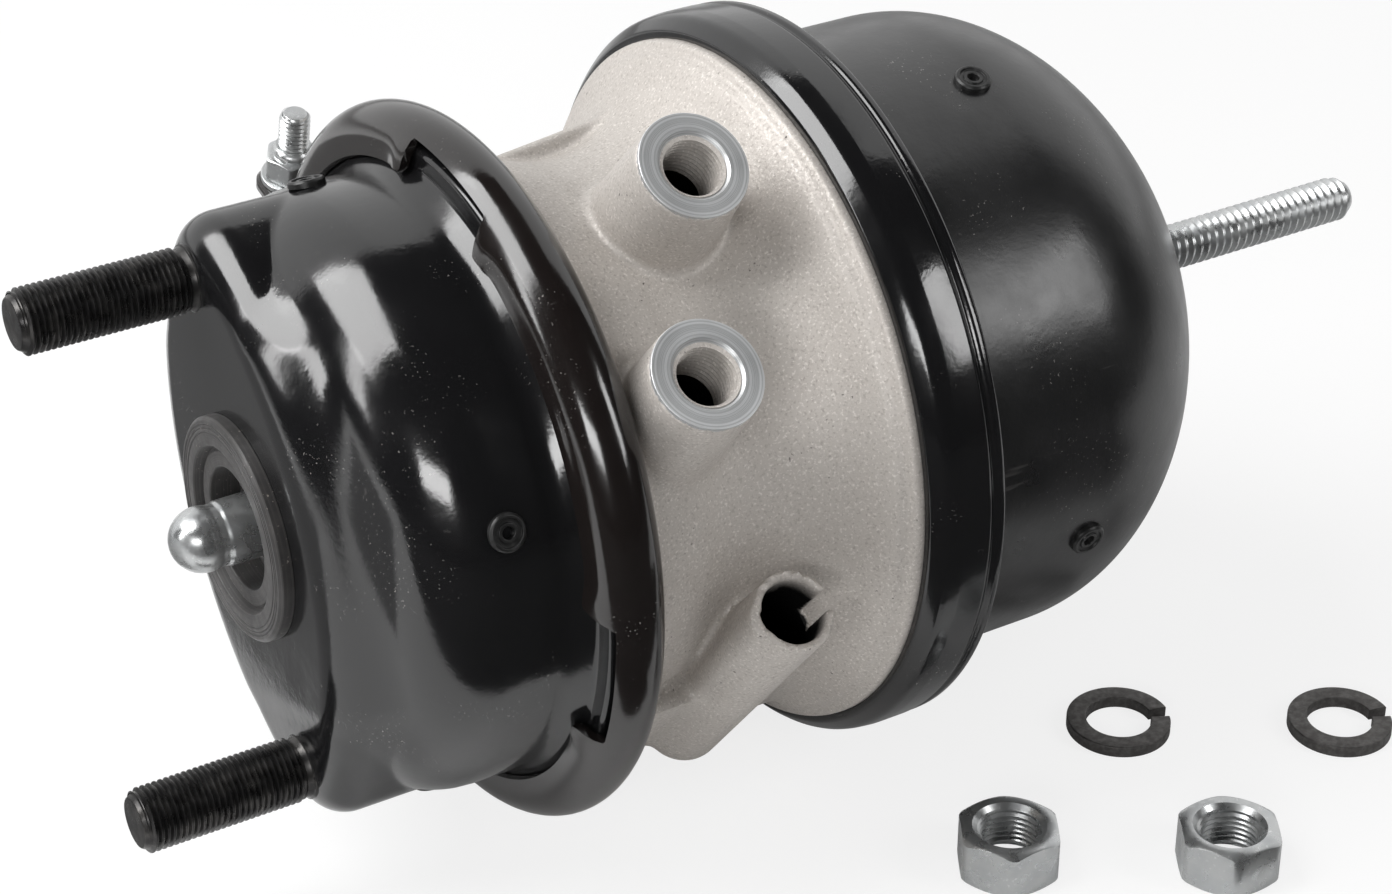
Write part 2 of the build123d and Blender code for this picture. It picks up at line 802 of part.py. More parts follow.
with BuildPart() as centre_housing:
    with BuildSketch(Plane.XZ):
        with BuildLine():
            flare_top = (flare_end, arc_height(flare_centre, flare_round, flare_end))
            Polyline(
                (cast_face, 0),
                (cast_face, clamp_radius),
                (clamp_end - flange_bevel, clamp_radius),
                (clamp_end, clamp_radius - flange_bevel),
                (clamp_end, neck_radius),
                neck_touch,
            )
            TangentArc(neck_touch, flare_top, tangent=(1, neck_slope))
            Polyline(
                flare_top,
                (collar_place, collar_radius),
                (rear_flange_place, collar_radius),
                (rear_flange_place, rear_flange_radius),
                (cast_end, rear_flange_radius),
                (cast_end, 0),
                (cast_face, 0),
            )
        make_face()
    revolve(axis=Axis.X)
    for port_place, port_side in zip(port_places, (-1, 1)):
        with BuildSketch(radial_plane(port_place, draw_clock, port_base, port_side * port_offset)):
            Circle(port_base_radius)
        with BuildSketch(radial_plane(port_place, draw_clock, port_face, port_side * port_offset)):
            Circle(port_radius)
        loft()
    add(pocket_body.part)
    with BuildSketch(radial_plane(0, draw_clock, pocket_web_bottom, pocket_offset)):
        with Locations(((clamp_end + collar_place) / 2, 0)):
            Rectangle(collar_place - clamp_end, pocket_web_thick)
    extrude(amount=pocket_web_top - pocket_web_bottom)
    with BuildSketch(half_plane(rib_clock)):
        Polygon(
            (rib_front[0], waist_radius - housing_wall / 2),
            rib_front,
            rib_rear,
            (rib_rear[0], waist_radius - housing_wall / 2),
            align=None,
        )
    extrude(amount=rib_thick / 2, both=True)
    with BuildSketch(Plane.XZ):
        Polygon(
            (clamp_end, band_lip_radius - seat_play),
            (clamp_end, clamp_radius + band_wall),
            (band_centre + band_outer_half + seat_play, clamp_radius + band_wall),
            (band_centre + band_outer_half + seat_play, band_lip_radius - seat_play),
            align=None,
        )
    revolve(axis=Axis.X, mode=Mode.SUBTRACT)
    add(front_cavity.part, mode=Mode.SUBTRACT)
    add(rear_cavity.part, mode=Mode.SUBTRACT)
    with BuildSketch(axis_plane(hub_face)):
        Circle(tube_radius + 2 * seat_play)
    extrude(amount=hub_rear - hub_face, mode=Mode.SUBTRACT)
    for groove_index in range(2):
        groove_front = hub_face + hub_front_land + groove_index * (hub_front_land + seal_groove_width)
        with BuildSketch(axis_plane(groove_front)):
            Circle(seal_groove_radius)
        extrude(amount=seal_groove_width, mode=Mode.SUBTRACT)
    bush_front = hub_rear - bush_length - 2 * circlip_thick
    with BuildSketch(axis_plane(bush_front)):
        Circle(bush_radius)
    extrude(amount=hub_rear - bush_front, mode=Mode.SUBTRACT)
    circlip_front = bush_front + bush_length
    with BuildSketch(axis_plane(circlip_front)):
        Circle(bush_radius + circlip_bite)
    extrude(amount=circlip_thick, mode=Mode.SUBTRACT)
    for port_place, port_side in zip(port_places, (-1, 1)):
        with BuildSketch(radial_plane(port_place, draw_clock, port_face, port_side * port_offset)):
            Circle(port_wall_radius + port_chamfer)
        with BuildSketch(
            radial_plane(port_place, draw_clock, port_face - port_chamfer, port_side * port_offset)
        ):
            Circle(port_wall_radius)
        loft(mode=Mode.SUBTRACT)
        thread_end = port_face - port_chamfer - port_thread_depth
        with BuildSketch(radial_plane(port_place, draw_clock, thread_end, port_side * port_offset)):
            Circle(port_wall_radius)
        extrude(amount=port_thread_depth, mode=Mode.SUBTRACT)
        with BuildSketch(
            radial_plane(port_place, draw_clock, port_passage_end, port_side * port_offset)
        ):
            Circle(port_passage_radius)
        extrude(amount=thread_end - port_passage_end, mode=Mode.SUBTRACT)
    pocket_depth = pocket_length - pocket_floor
    with BuildSketch(radial_plane(pocket_place, draw_clock, pocket_mouth, pocket_offset)):
        Circle(pocket_bore_radius)
        Rectangle(2 * pocket_ear_reach, pocket_ear_width)
    extrude(amount=-pocket_depth, mode=Mode.SUBTRACT)
finish(centre_housing, "centre_housing")

# Seals, guide bush and circlip that carry the push tube in the hub
for seal_index, seal_name in enumerate(("front_rod_seal", "rear_rod_seal")):
    groove_front = hub_face + hub_front_land + seal_index * (hub_front_land + seal_groove_width)
    ring_radius = (seal_groove_radius - tube_radius - running_play) / 2
    with BuildPart() as rod_seal:
        with BuildSketch(Plane.XZ):
            with Locations((groove_front + seal_groove_width / 2, seal_groove_radius - ring_radius)):
                Circle(ring_radius)
        revolve(axis=Axis.X)
    finish(rod_seal, seal_name)

with BuildPart() as guide_bush:
    with BuildSketch(axis_plane(bush_front)):
        Circle(bush_radius - running_play)
        Circle(tube_radius + running_play, mode=Mode.SUBTRACT)
    extrude(amount=bush_length)
finish(guide_bush, "guide_bush")

with BuildPart() as circlip:
    with BuildSketch(axis_plane(circlip_front)):
        Circle(bush_radius + circlip_bite - running_play)
        Circle(bush_radius + circlip_bite - circlip_width, mode=Mode.SUBTRACT)
    extrude(amount=circlip_thick)
    gap = turned_sector(
        [
            (circlip_front, 0),
            (circlip_front, hub_radius),
            (circlip_front + circlip_thick, hub_radius),
            (circlip_front + circlip_thick, 0),
        ],
        draw_clock,
        circlip_gap_angle,
    )
    add(gap.part, mode=Mode.SUBTRACT)
finish(circlip, "circlip")

# Push tube with its base flange, and the head that meets the service diaphragm
tube_inside = tube_radius - tube_wall
push_tube = turned(
    [
        (tube_front, tube_inside),
        (tube_front, tube_radius),
        (adapter_front, tube_radius),
        (adapter_front, adapter_base_radius),
        (rear_sheet_front, adapter_base_radius),
        (rear_sheet_front, tube_inside),
    ]
)
finish(push_tube, "push_tube")

tube_head = turned(
    [
        (tube_head_front, 0),
        (tube_head_front, tube_head_radius),
        (tube_front, tube_head_radius),
        (tube_front, tube_inside - running_play),
        (tube_front + tube_spigot_length, tube_inside - running_play),
        (tube_front + tube_spigot_length, 0),
    ]
)
finish(tube_head, "tube_head")

adapter_spring = coil(
    web_rear + adapter_wire / 2 + seat_play,
    adapter_front - adapter_wire / 2 - seat_play,
    adapter_spring_radius,
    adapter_spring_radius,
    adapter_turns,
    adapter_wire,
)
finish(adapter_spring, "adapter_spring")

# Spring diaphragm, its bead held between the housing and the rear pot
pot_inside = rear_radius - rear_pot_wall
bead_top = rear_flange_radius - rear_bead_inset
shoulder_place = rear_clamp_face + sheet_shoulder
spring_diaphragm = turned(
    [
        (cast_end, rear_mouth_radius - sheet_thick),
        (cast_end, bead_top),
        (rear_clamp_face, bead_top),
        (rear_clamp_face, pot_inside - seat_play),
        (shoulder_place, pot_inside - seat_play - sheet_lean),
        (plate_front - 2 * sheet_lean, plate_radius + sheet_thick),
        (plate_front, plate_radius - sheet_thick),
        (plate_front, 0),
        (rear_sheet_front, 0),
        (rear_sheet_front, plate_radius - sheet_thick - 2 * sheet_lean),
        (plate_front - 2 * sheet_lean - sheet_thick, plate_radius),
        (shoulder_place, pot_inside - seat_play - sheet_lean - sheet_thick),
    ]
)
finish(spring_diaphragm, "spring_diaphragm")

# Pressure plate: spring seat with a rim, and a hollow boss slotted for the release bolt
with BuildPart() as pressure_plate:
    with BuildSketch(Plane.XZ):
        Polygon(
            (plate_front, plate_boss_radius - plate_boss_wall),
            (plate_front, plate_radius),
            (plate_front + plate_thick + plate_rim_height, plate_radius),
            (plate_front + plate_thick + plate_rim_height, plate_radius - plate_rim_wall),
            (plate_front + plate_thick, plate_radius - plate_rim_wall),
            (plate_front + plate_thick, plate_boss_radius),
            (plate_boss_end, plate_boss_radius),
            (plate_boss_end, 0),
            (plate_boss_end - plate_boss_wall, 0),
            (plate_boss_end - plate_boss_wall, plate_boss_radius - plate_boss_wall),
            align=None,
        )
    revolve(axis=Axis.X)
    with BuildSketch(axis_plane(plate_boss_end)):
        Circle(bolt_radius + seat_play)
        Rectangle(bolt_head_width + slot_play, bolt_head_span + slot_play)
    extrude(amount=-plate_boss_wall, mode=Mode.SUBTRACT)
finish(pressure_plate, "pressure_plate")

# Release bolt, its T-head turned across the slot under the boss
bolt_seat = plate_boss_end - plate_boss_wall
with BuildPart() as release_bolt:
    with BuildSketch(axis_plane(bolt_seat - bolt_head_length)):
        Rectangle(bolt_head_span, bolt_head_width)
    extrude(amount=bolt_head_length)
    with BuildSketch(axis_plane(bolt_seat)):
        Circle(bolt_radius)
    extrude(amount=bolt_tip - bolt_seat)
    chamfer(release_bolt.edges().filter_by(GeomType.CIRCLE).sort_by(Axis.X)[-1], bolt_point)
finish(release_bolt, "release_bolt")

# Rear pot: flange, straight wall and an elliptic dome with a flat end
dome_rise = rear_radius + dome_drop
outer_start = math.degrees(math.asin((dome_flat_radius + dome_drop) / dome_rise))
inner_start = math.degrees(math.asin((dome_flat_radius + dome_drop) / (dome_rise - rear_pot_wall)))
outer_flat = dome_start + dome_length * math.cos(math.radians(outer_start))
inner_flat = dome_start + (dome_length - rear_pot_wall) * math.cos(math.radians(inner_start))
with BuildPart() as rear_pot_outside:
    with BuildSketch(Plane.XZ):
        with BuildLine():
            Polyline(
                (outer_flat, dome_flat_radius),
                (outer_flat, 0),
                (rear_clamp_face, 0),
                (rear_clamp_face, rear_flange_radius),
                (rear_clamp_end, rear_flange_radius),
            )
            FilletPolyline(
                (rear_clamp_end, rear_flange_radius),
                (rear_clamp_end, rear_radius),
                (dome_start, rear_radius),
                radius=rear_flange_round,
            )
            EllipticalCenterArc(
                (dome_start, -dome_drop),
                dome_length,
                dome_rise,
                start_angle=outer_start,
                arc_size=90 - outer_start,
            )
        make_face()
    revolve(axis=Axis.X)
with BuildPart() as rear_pot:
    add(rear_pot_outside.part)
    with BuildSketch(Plane.XZ):
        with BuildLine():
            Polyline(
                (inner_flat, dome_flat_radius),
                (inner_flat, 0),
                (rear_clamp_face, 0),
                (rear_clamp_face, pot_inside),
                (dome_start, pot_inside),
            )
            EllipticalCenterArc(
                (dome_start, -dome_drop),
                dome_length - rear_pot_wall,
                dome_rise - rear_pot_wall,
                start_angle=inner_start,
                arc_size=90 - inner_start,
            )
        make_face()
    revolve(axis=Axis.X, mode=Mode.SUBTRACT)
    with BuildSketch(axis_plane(inner_flat)):
        Circle(bolt_hole_radius)
    extrude(amount=2 * rear_pot_wall, mode=Mode.SUBTRACT)
    for clock in plug_clocks(rear_plug_clock):
        with BuildSketch(radial_plane(rear_plug_place, clock, rear_radius / 2)):
            Circle(plug_stem_radius)
        extrude(amount=rear_radius / 2 + rear_pot_wall, mode=Mode.SUBTRACT)
finish(rear_pot, "rear_pot")

# Power spring between the pressure plate and the inside of the dome
contact_angle = math.asin((power_rear_radius + dome_drop) / (dome_rise - rear_pot_wall))
dome_normal_x = math.cos(contact_angle) / (dome_length - rear_pot_wall)
dome_normal_r = math.sin(contact_angle) / (dome_rise - rear_pot_wall)
normal_size = math.hypot(dome_normal_x, dome_normal_r)
wire_offset = power_wire / 2 + seat_play
contact_x = dome_start + (dome_length - rear_pot_wall) * math.cos(contact_angle)
power_spring = coil(
    plate_front + plate_thick + wire_offset,
    contact_x - wire_offset * dome_normal_x / normal_size,
    plate_radius - plate_rim_wall - wire_offset,
    power_rear_radius - wire_offset * dome_normal_r / normal_size,
    power_turns,
    power_wire,
)
finish(power_spring, "power_spring")

# Crimp ring rolled over the housing flange and hemmed behind the pot flange
ring_front = rear_flange_place - ring_play - ring_wall
ring_end = rear_clamp_end + ring_play + ring_hem
ring_bead_front = ring_end - ring_bead_width
with BuildPart() as crimp_ring:
    with BuildSketch(Plane.XZ):
        with BuildLine():
            Line((ring_front, ring_nose_radius), (ring_front, ring_front_radius))
            TangentArc(
                (ring_front, ring_front_radius),
                (ring_front + ring_shoulder, ring_outer_radius),
                tangent=(ring_lean, 1),
            )
            Polyline(
                (ring_front + ring_shoulder, ring_outer_radius),
                (ring_bead_front - 1.5 * ring_groove_depth, ring_outer_radius),
                (ring_bead_front - ring_groove_depth / 2, ring_outer_radius - ring_groove_depth),
                (ring_bead_front + ring_groove_depth, ring_outer_radius),
                (ring_end - 2 * ring_groove_depth, ring_outer_radius),
                (ring_end, ring_outer_radius - 2 * ring_groove_depth),
                (ring_end, ring_hem_radius),
                (rear_clamp_end + ring_play, ring_hem_radius),
                (rear_clamp_end + ring_play, rear_flange_radius + ring_play),
                (rear_flange_place - ring_play, rear_flange_radius + ring_play),
                (rear_flange_place - ring_play, ring_nose_radius),
                (ring_front, ring_nose_radius),
            )
        make_face()
    revolve(axis=Axis.X)
finish(crimp_ring, "crimp_ring")

# Vented drain plugs round both pots
front_drain_plugs = drain_plugs(
    front_plug_place, front_plug_clock, front_radius, pot_wall, outer_drum
)
finish(front_drain_plugs, "front_drain_plugs")
rear_drain_plugs = drain_plugs(
    rear_plug_place, rear_plug_clock, rear_radius, rear_pot_wall, rear_pot_outside
)
finish(rear_drain_plugs, "rear_drain_plugs")

# Washer and nut that hold the release bolt at the flat end of the pot
with BuildPart() as release_washer:
    with BuildSketch(axis_plane(outer_flat)):
        Circle(release_washer_radius)
        Circle(bolt_radius + seat_play, mode=Mode.SUBTRACT)
    extrude(amount=release_washer_thick)
finish(release_washer, "release_washer")

with BuildPart() as release_nut:
    with BuildSketch(axis_plane(outer_flat + release_washer_thick)):
        RegularPolygon(release_nut_flats / 2, 6, major_radius=False)
        Circle(bolt_radius + running_play, mode=Mode.SUBTRACT)
    extrude(amount=release_nut_height)
finish(release_nut, "release_nut")

# Nuts and spring washers for the studs, lying loose on the floor beside the chamber
for index, (nut_x, nut_y) in enumerate(nut_places, start=1):
    with BuildPart() as mount_nut:
        with BuildSketch(Plane(origin=(nut_x, nut_y, floor_level))):
            RegularPolygon(mount_nut_flats / 2, 6, major_radius=False)
            Circle(stud_radius + mount_nut_play, mode=Mode.SUBTRACT)
        extrude(amount=mount_nut_height)
    finish(mount_nut, f"mounting_nut_{index}")

for index, (washer_x, washer_y) in enumerate(washer_places, start=1):
    with BuildPart() as lock_washer:
        with BuildSketch(Plane(origin=(washer_x, washer_y, floor_level))):
            Circle(lock_washer_radius)
            Circle(lock_washer_bore, mode=Mode.SUBTRACT)
            with Locations(Location((0, 0), washer_gap_turn)):
                Rectangle(
                    2 * lock_washer_radius,
                    lock_washer_gap,
                    align=(Align.MIN, Align.CENTER),
                    mode=Mode.SUBTRACT,
                )
        extrude(amount=lock_washer_thick)
    finish(lock_washer, f"lock_washer_{index}")
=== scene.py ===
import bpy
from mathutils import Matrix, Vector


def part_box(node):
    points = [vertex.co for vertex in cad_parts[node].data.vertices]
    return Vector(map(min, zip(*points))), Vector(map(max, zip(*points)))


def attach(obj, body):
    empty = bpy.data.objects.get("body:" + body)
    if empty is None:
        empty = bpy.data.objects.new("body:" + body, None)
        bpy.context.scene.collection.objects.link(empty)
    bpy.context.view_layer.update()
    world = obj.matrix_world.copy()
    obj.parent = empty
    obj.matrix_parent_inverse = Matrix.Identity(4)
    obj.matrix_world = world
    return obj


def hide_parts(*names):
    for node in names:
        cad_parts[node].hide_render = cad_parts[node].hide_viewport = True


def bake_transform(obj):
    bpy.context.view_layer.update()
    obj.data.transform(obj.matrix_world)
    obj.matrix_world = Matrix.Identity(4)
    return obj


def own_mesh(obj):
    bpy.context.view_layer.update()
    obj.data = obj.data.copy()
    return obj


bl_info = {
    "name": "Spring Brake Chamber",
    "version": (1, 0, 0),
    "blender": (4, 5, 0),
    "location": "View3D > Sidebar > Chamber",
    "description": "Builds the finished pieces of a spring brake chamber round its packed frame",
    "category": "Object",
}

import functools
import math

import bmesh
import bpy
import numpy as np
from mathutils import Matrix, Vector

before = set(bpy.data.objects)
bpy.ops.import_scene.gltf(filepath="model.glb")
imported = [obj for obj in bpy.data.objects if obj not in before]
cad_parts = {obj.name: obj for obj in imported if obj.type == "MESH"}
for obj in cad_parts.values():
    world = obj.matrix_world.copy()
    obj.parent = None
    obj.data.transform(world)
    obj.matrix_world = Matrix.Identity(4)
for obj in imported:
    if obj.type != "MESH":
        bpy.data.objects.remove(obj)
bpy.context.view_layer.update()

MM = 0.001
FULL_TURN = 2 * math.pi
ARC_STEP = math.radians(11)
STUD_CLOCK = 22.5
DRAW_CLOCK = -39.5
BAND_CLOCK = 76.0
RIB_CLOCK = 29.0
FRONT_PLUG_CLOCK = 20.0
REAR_PLUG_CLOCK = -16.0
BAND_WINDOWS = (-9.0, -100.0, 161.0)
LUG_STARTS = (12.0, -16.0)
STUD_HALF_SPACING = 60.325
# Place of each port along the axis and aside of it, and how much its boss widens
PORTS = ((100.5, -24.3, 2.6), (81.5, 24.3, 1.2))
POCKET_X = 100.0
POCKET_SIDE = 72.0
POCKET_MOUTH = 47.0
CASTING_TRIANGLES = 190000


def low(node):
    """Lowest corner of a frame node in millimetres."""
    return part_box(node)[0] / MM


def high(node):
    """Highest corner of a frame node in millimetres."""
    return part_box(node)[1] / MM


# Places along the chamber axis and radii about it, in millimetres, read from the frame
POT_BACK = high("front_pot").x
FLANGE_RADIUS = high("front_pot").z
CAST_FRONT = low("centre_housing").x
CAST_BACK = high("centre_housing").x
NECK_START = CAST_FRONT + 4.2
BAND_MIDDLE = (low("clamp_band").x + high("clamp_band").x) / 2
BAND_OUTER_HALF = (high("clamp_band").x - low("clamp_band").x) / 2
RING_FRONT = low("crimp_ring").x
RING_BACK = high("crimp_ring").x
RING_RADIUS = high("crimp_ring").z
REAR_FLANGE_FRONT = low("rear_pot").x
REAR_FLANGE_RADIUS = high("rear_pot").z
DOME_END = high("rear_pot").x
SEAL_FRONT = low("front_seal").x
SEAL_BACK = high("front_seal").x
SEAL_RADIUS = high("front_seal").z
STUD_TIP = low("upper_stud").x
BOLT_TIP = high("release_bolt").x
FLOOR = low("mounting_nut_1").z


def size(name, description, value):
    """Length that a user may change, given in millimetres and held in metres."""
    return bpy.props.FloatProperty(
        name=name, description=description, default=value * MM, unit="LENGTH", precision=5
    )


def colour(name, description, value):
    """Colour that a user may change."""
    return bpy.props.FloatVectorProperty(
        name=name, description=description, default=value, size=3, min=0, max=1, subtype="COLOR"
    )


def share(name, description, value):
    """Number between nothing and all that a user may change."""
    return bpy.props.FloatProperty(
        name=name, description=description, default=value, min=0, max=1, subtype="FACTOR"
    )


class ChamberPotSizes(bpy.types.PropertyGroup):
    """Sizes of the two pressed pots"""

    wall: size("Front wall", "Sheet thickness of the front pot", 3.2)
    drum_radius: size("Drum radius", "Outer radius of the front pot's drum", 75)
    shoulder: size("Shoulder", "Distance from the mounting face to the drum's front", 9)
    drum_corner: size("Drum corner", "Corner radius of the drum", 25)
    pad_half_width: size("Pad half width", "Half width of the lens-shaped pad", 45)
    pad_inset: size("Pad inset", "How far the pad's ends stay inside the drum", 0.6)
    pad_end_round: size("Pad end round", "Radius of the pad's two ends", 18)
    pad_edge_round: size("Pad edge round", "Radius of the pad's front edge", 10)
    pad_blend: size("Pad blend", "Fillet between the pad and the drum", 11)
    flare_start: size("Flare start", "Where the drum turns out to its flange", 46)
    flare_rise: size("Flare rise", "How far the flare widens the drum", 3.6)
    seal_hole: size("Seal hole", "Radius of the hole for the rod and its seal", 22)
    rear_wall: size("Rear wall", "Sheet thickness of the rear pot", 3.4)
    rear_radius: size("Rear radius", "Outer radius of the rear pot's wall", 82.1)
    dome_start: size("Dome start", "Where the rear pot's wall turns into its dome", 193)
    dome_length: size("Dome length", "Half length of the dome's ellipse", 68.3)
    dome_drop: size("Dome drop", "How far the ellipse's centre lies past the axis", 23.2)
    dome_flat: size("Dome flat", "Radius of the flat end of the dome", 20)


class ChamberHousingSizes(bpy.types.PropertyGroup):
    """Sizes of the cast centre housing"""

    voxel: size("Voxel", "Spacing of the cells that the casting's surface is drawn from", 1.12)
    neck_radius: size("Neck radius", "Radius of the neck behind the front flange", 75)
    waist_radius: size("Waist radius", "Smallest radius of the hourglass", 66.2)
    waist_place: size("Waist place", "Place of the smallest radius along the axis", 98)
    flare_round: size("Flare round", "Radius of the hourglass curve", 33)
    port_radius: size("Port radius", "Radius of a port's face", 13.6)
    port_face: size("Port face", "Distance of the port faces from the axis", 91)
    port_fillet: size("Port fillet", "Fillet between a port and the neck", 2.6)
    pocket_radius: size("Pocket radius", "Outer radius of the storage pocket", 10)
    web_fillet: size("Web fillet", "Fillet between the webs and the neck", 2)


class ChamberFinishes(bpy.types.PropertyGroup):
    """Colours and gloss of the finishes"""

    black_paint: colour("Black paint", "Paint of the pots and rings", (0.007, 0.007, 0.0075))
    band_paint: colour("Band paint", "Paint of the clamp band", (0.0095, 0.0075, 0.007))
    gloss: share("Gloss roughness", "Roughness of the gloss paint", 0.13)
    satin: share("Satin roughness", "Roughness of the rear pot's paint", 0.3)
    aluminium: colour("Cast aluminium", "Blasted die casting", (0.55, 0.515, 0.48))
    machined: colour("Machined aluminium", "Turned faces and bores", (0.62, 0.63, 0.635))
    zinc: colour("Zinc plating", "Bright zinc on the rod and fasteners", (0.56, 0.57, 0.57))
    black_oxide: colour("Black oxide", "Studs", (0.035, 0.034, 0.034))
    phosphate: colour("Phosphate", "Spring lock washers", (0.09, 0.085, 0.082))
    rubber: colour("Rubber", "Seal, boot and diaphragms", (0.026, 0.0245, 0.0245))
    plastic: colour("Black plastic", "Drain plugs", (0.012, 0.012, 0.012))
    floor: colour("Floor", "Floor of the studio", (0.86, 0.86, 0.86))


def clock_vector(clock):
    """Unit vector across the chamber axis, from +Z towards +Y."""
    angle = math.radians(clock)
    return Vector((0.0, math.sin(angle), math.cos(angle)))


def placed(origin, along, across):
    """Matrix that puts local Z along one direction and local X across it, from a place in millimetres."""
    along = Vector(along).normalized()
    across = Vector(across)
    across = (across - along * across.dot(along)).normalized()
    other = along.cross(across)
    matrix = Matrix((across, other, along)).transposed().to_4x4()
    matrix.translation = Vector(origin) * MM
    return matrix


AXIS_PLACE = placed((0, 0, 0), (1, 0, 0), (0, 0, 1))


def draw_place(x, side):
    """Place whose local Z runs out through a port or the pocket, with its origin level with the axis."""
    origin = Vector((x, 0, 0)) + clock_vector(DRAW_CLOCK - 90) * side
    return placed(origin, clock_vector(DRAW_CLOCK), (1, 0, 0))


def rounded(corners, closed=True):
    """Outline in millimetres whose (along, radius, fillet) corners are turned into arcs."""
    points = []
    count = len(corners)
    for index, (along, radius, fillet) in enumerate(corners):
        here = np.array((along, radius), float)
        if not fillet or (not closed and index in (0, count - 1)):
            points.append(here)
            continue
        back = np.array(corners[index - 1][:2]) - here
        ahead = np.array(corners[(index + 1) % count][:2]) - here
        longest = 0.49 * min(np.linalg.norm(back), np.linalg.norm(ahead))
        back = back / np.linalg.norm(back)
        ahead = ahead / np.linalg.norm(ahead)
        half = math.acos(np.clip(back @ ahead, -1, 1)) / 2
        reach = min(fillet / math.tan(half), longest)
        arc_radius = reach * math.tan(half)
        middle = (back + ahead) / np.linalg.norm(back + ahead)
        centre = here + middle * arc_radius / math.sin(half)
        start = here + back * reach - centre
        turn = math.pi - 2 * half
        side = math.copysign(1, start[0] * (ahead - back)[1] - start[1] * (ahead - back)[0])
        steps = max(2, round(turn / ARC_STEP))
        for step in range(steps + 1):
            angle = side * turn * step / steps
            cosine, sine = math.cos(angle), math.sin(angle)
            points.append(centre + (cosine * start[0] - sine * start[1], sine * start[0] + cosine * start[1]))
    return np.array(points)


def grid_faces(rows, columns, closed_rows, closed_columns):
    """Four-sided faces of a grid of points."""
    row, column = np.meshgrid(
        np.arange(rows if closed_rows else rows - 1),
        np.arange(columns if closed_columns else columns - 1),
        indexing="ij",
    )
    next_row = (row + 1) % rows
    next_column = (column + 1) % columns
    corners = [row * columns + column, next_row * columns + column]
    corners += [next_row * columns + next_column, row * columns + next_column]
    return np.stack(corners, -1).reshape(-1, 4)


def plain_mesh(points, faces, run=None):
    """Mesh from points in millimetres, doubles merged and faces outwards, with an optional run attribute."""
    mesh = bpy.data.meshes.new("part")
    mesh.from_pydata((np.reshape(points, (-1, 3)) * MM).tolist(), [], [list(face) for face in faces])
    if run is not None:
        attribute = mesh.attributes.new("run", "FLOAT", "POINT")
        attribute.data.foreach_set("value", np.asarray(run, np.float32).ravel())
    shape = bmesh.new()
    shape.from_mesh(mesh)
    bmesh.ops.remove_doubles(shape, verts=shape.verts, dist=0.002 * MM)
    bmesh.ops.recalc_face_normals(shape, faces=shape.faces)
    shape.to_mesh(mesh)
    shape.free()
    return mesh


def grid_mesh(points, closed_rows=True, closed_columns=True, caps=False, run=None):
    """Mesh from a grid of points in millimetres. Caps close the first and last rows of a closed section."""
    rows, columns = points.shape[:2]
    faces = grid_faces(rows, columns, closed_rows, closed_columns).tolist()
    if caps:
        faces.append(list(range(columns)))
        faces.append(list(range((rows - 1) * columns, rows * columns)))
    return plain_mesh(points, faces, run)


def turned_mesh(outline, place=AXIS_PLACE, segments=192, closed=True):
    """Mesh turned about local Z from (along, radius) points in millimetres."""
    outline = np.asarray(outline, float)
    angles = np.arange(segments) * FULL_TURN / segments
    along = np.broadcast_to(outline[:, 0], (segments, len(outline)))
    radius = outline[:, 1]
    points = np.stack([np.outer(np.cos(angles), radius), np.outer(np.sin(angles), radius), along], -1)
    steps = np.linalg.norm(np.diff(outline, axis=0), axis=1)
    run = np.broadcast_to(np.concatenate([[0], np.cumsum(steps)]), along.shape)
    mesh = grid_mesh(points, True, closed, run=run)
    mesh.transform(place)
    return mesh


def slab_mesh(outline, depth, edge, place):
    """Plate with chamfered edges, from an outline of (x, y) points in millimetres, along local Z."""
    outline = np.asarray(outline, float)
    centre = outline.mean(0)
    reach = np.linalg.norm(outline - centre, axis=1, keepdims=True)
    inner = centre + (outline - centre) * (1 - edge / reach)
    levels = ((0, inner), (edge, outline), (depth - edge, outline), (depth, inner))
    rows = [np.column_stack([shape, np.full(len(shape), level)]) for level, shape in levels]
    mesh = grid_mesh(np.array(rows), False, True, caps=True)
    mesh.transform(place)
    return mesh


def nut_mesh(flats, height, bore, place, mouth=0.9, collar=0.0):
    """Hexagon nut with turned corners and a countersunk bore, in millimetres, standing on local Z."""
    columns = 144
    angles = np.arange(columns) * FULL_TURN / columns
    apothem = flats / 2
    hexagon = apothem / np.cos((angles + math.pi / 6) % (math.pi / 3) - math.pi / 6)
    hexagon = np.minimum(hexagon, apothem / math.cos(math.pi / 6) - 0.02 * flats)
    land = 0.95 * apothem
    drop = np.maximum(hexagon - land, 0) * math.tan(math.pi / 6)
    body = height - collar
    even = np.ones_like(angles)
    rows = [(bore + mouth, 0), (land, 0), (hexagon, drop), (hexagon, body - drop), (land, body)]
    if collar:
        neck = land - 0.9
        rows += [(neck, body), (neck, height - 1.6), (neck - 0.5, height - 0.7), (neck - 1.6, height)]
    rows += [(bore + mouth, height), (bore, height - mouth), (bore, mouth)]
    points = [
        np.stack([np.cos(angles) * radius, np.sin(angles) * radius, even * level], -1)
        for radius, level in rows
    ]
    mesh = grid_mesh(np.array(points))
    mesh.transform(place)
    return mesh


def kept(store, ending=""):
    """Decorator: make a named thing once and hand out the same one after that."""

    def dressed(make):
        @functools.wraps(make)
        def found():
            name = make.__name__ + ending
            return getattr(bpy.data, store).get(name) or make(name)

        return found

    return dressed


def tree_node(tree, kind, links=(), **settings):
    """Node with its settings made and its named inputs linked or set."""
    node = tree.nodes.new(kind)
    for key, value in settings.items():
        setattr(node, key, value)
    for name, source in links:
        if isinstance(source, bpy.types.NodeSocket):
            tree.links.new(source, node.inputs[name])
        else:
            node.inputs[name].default_value = source
    return node


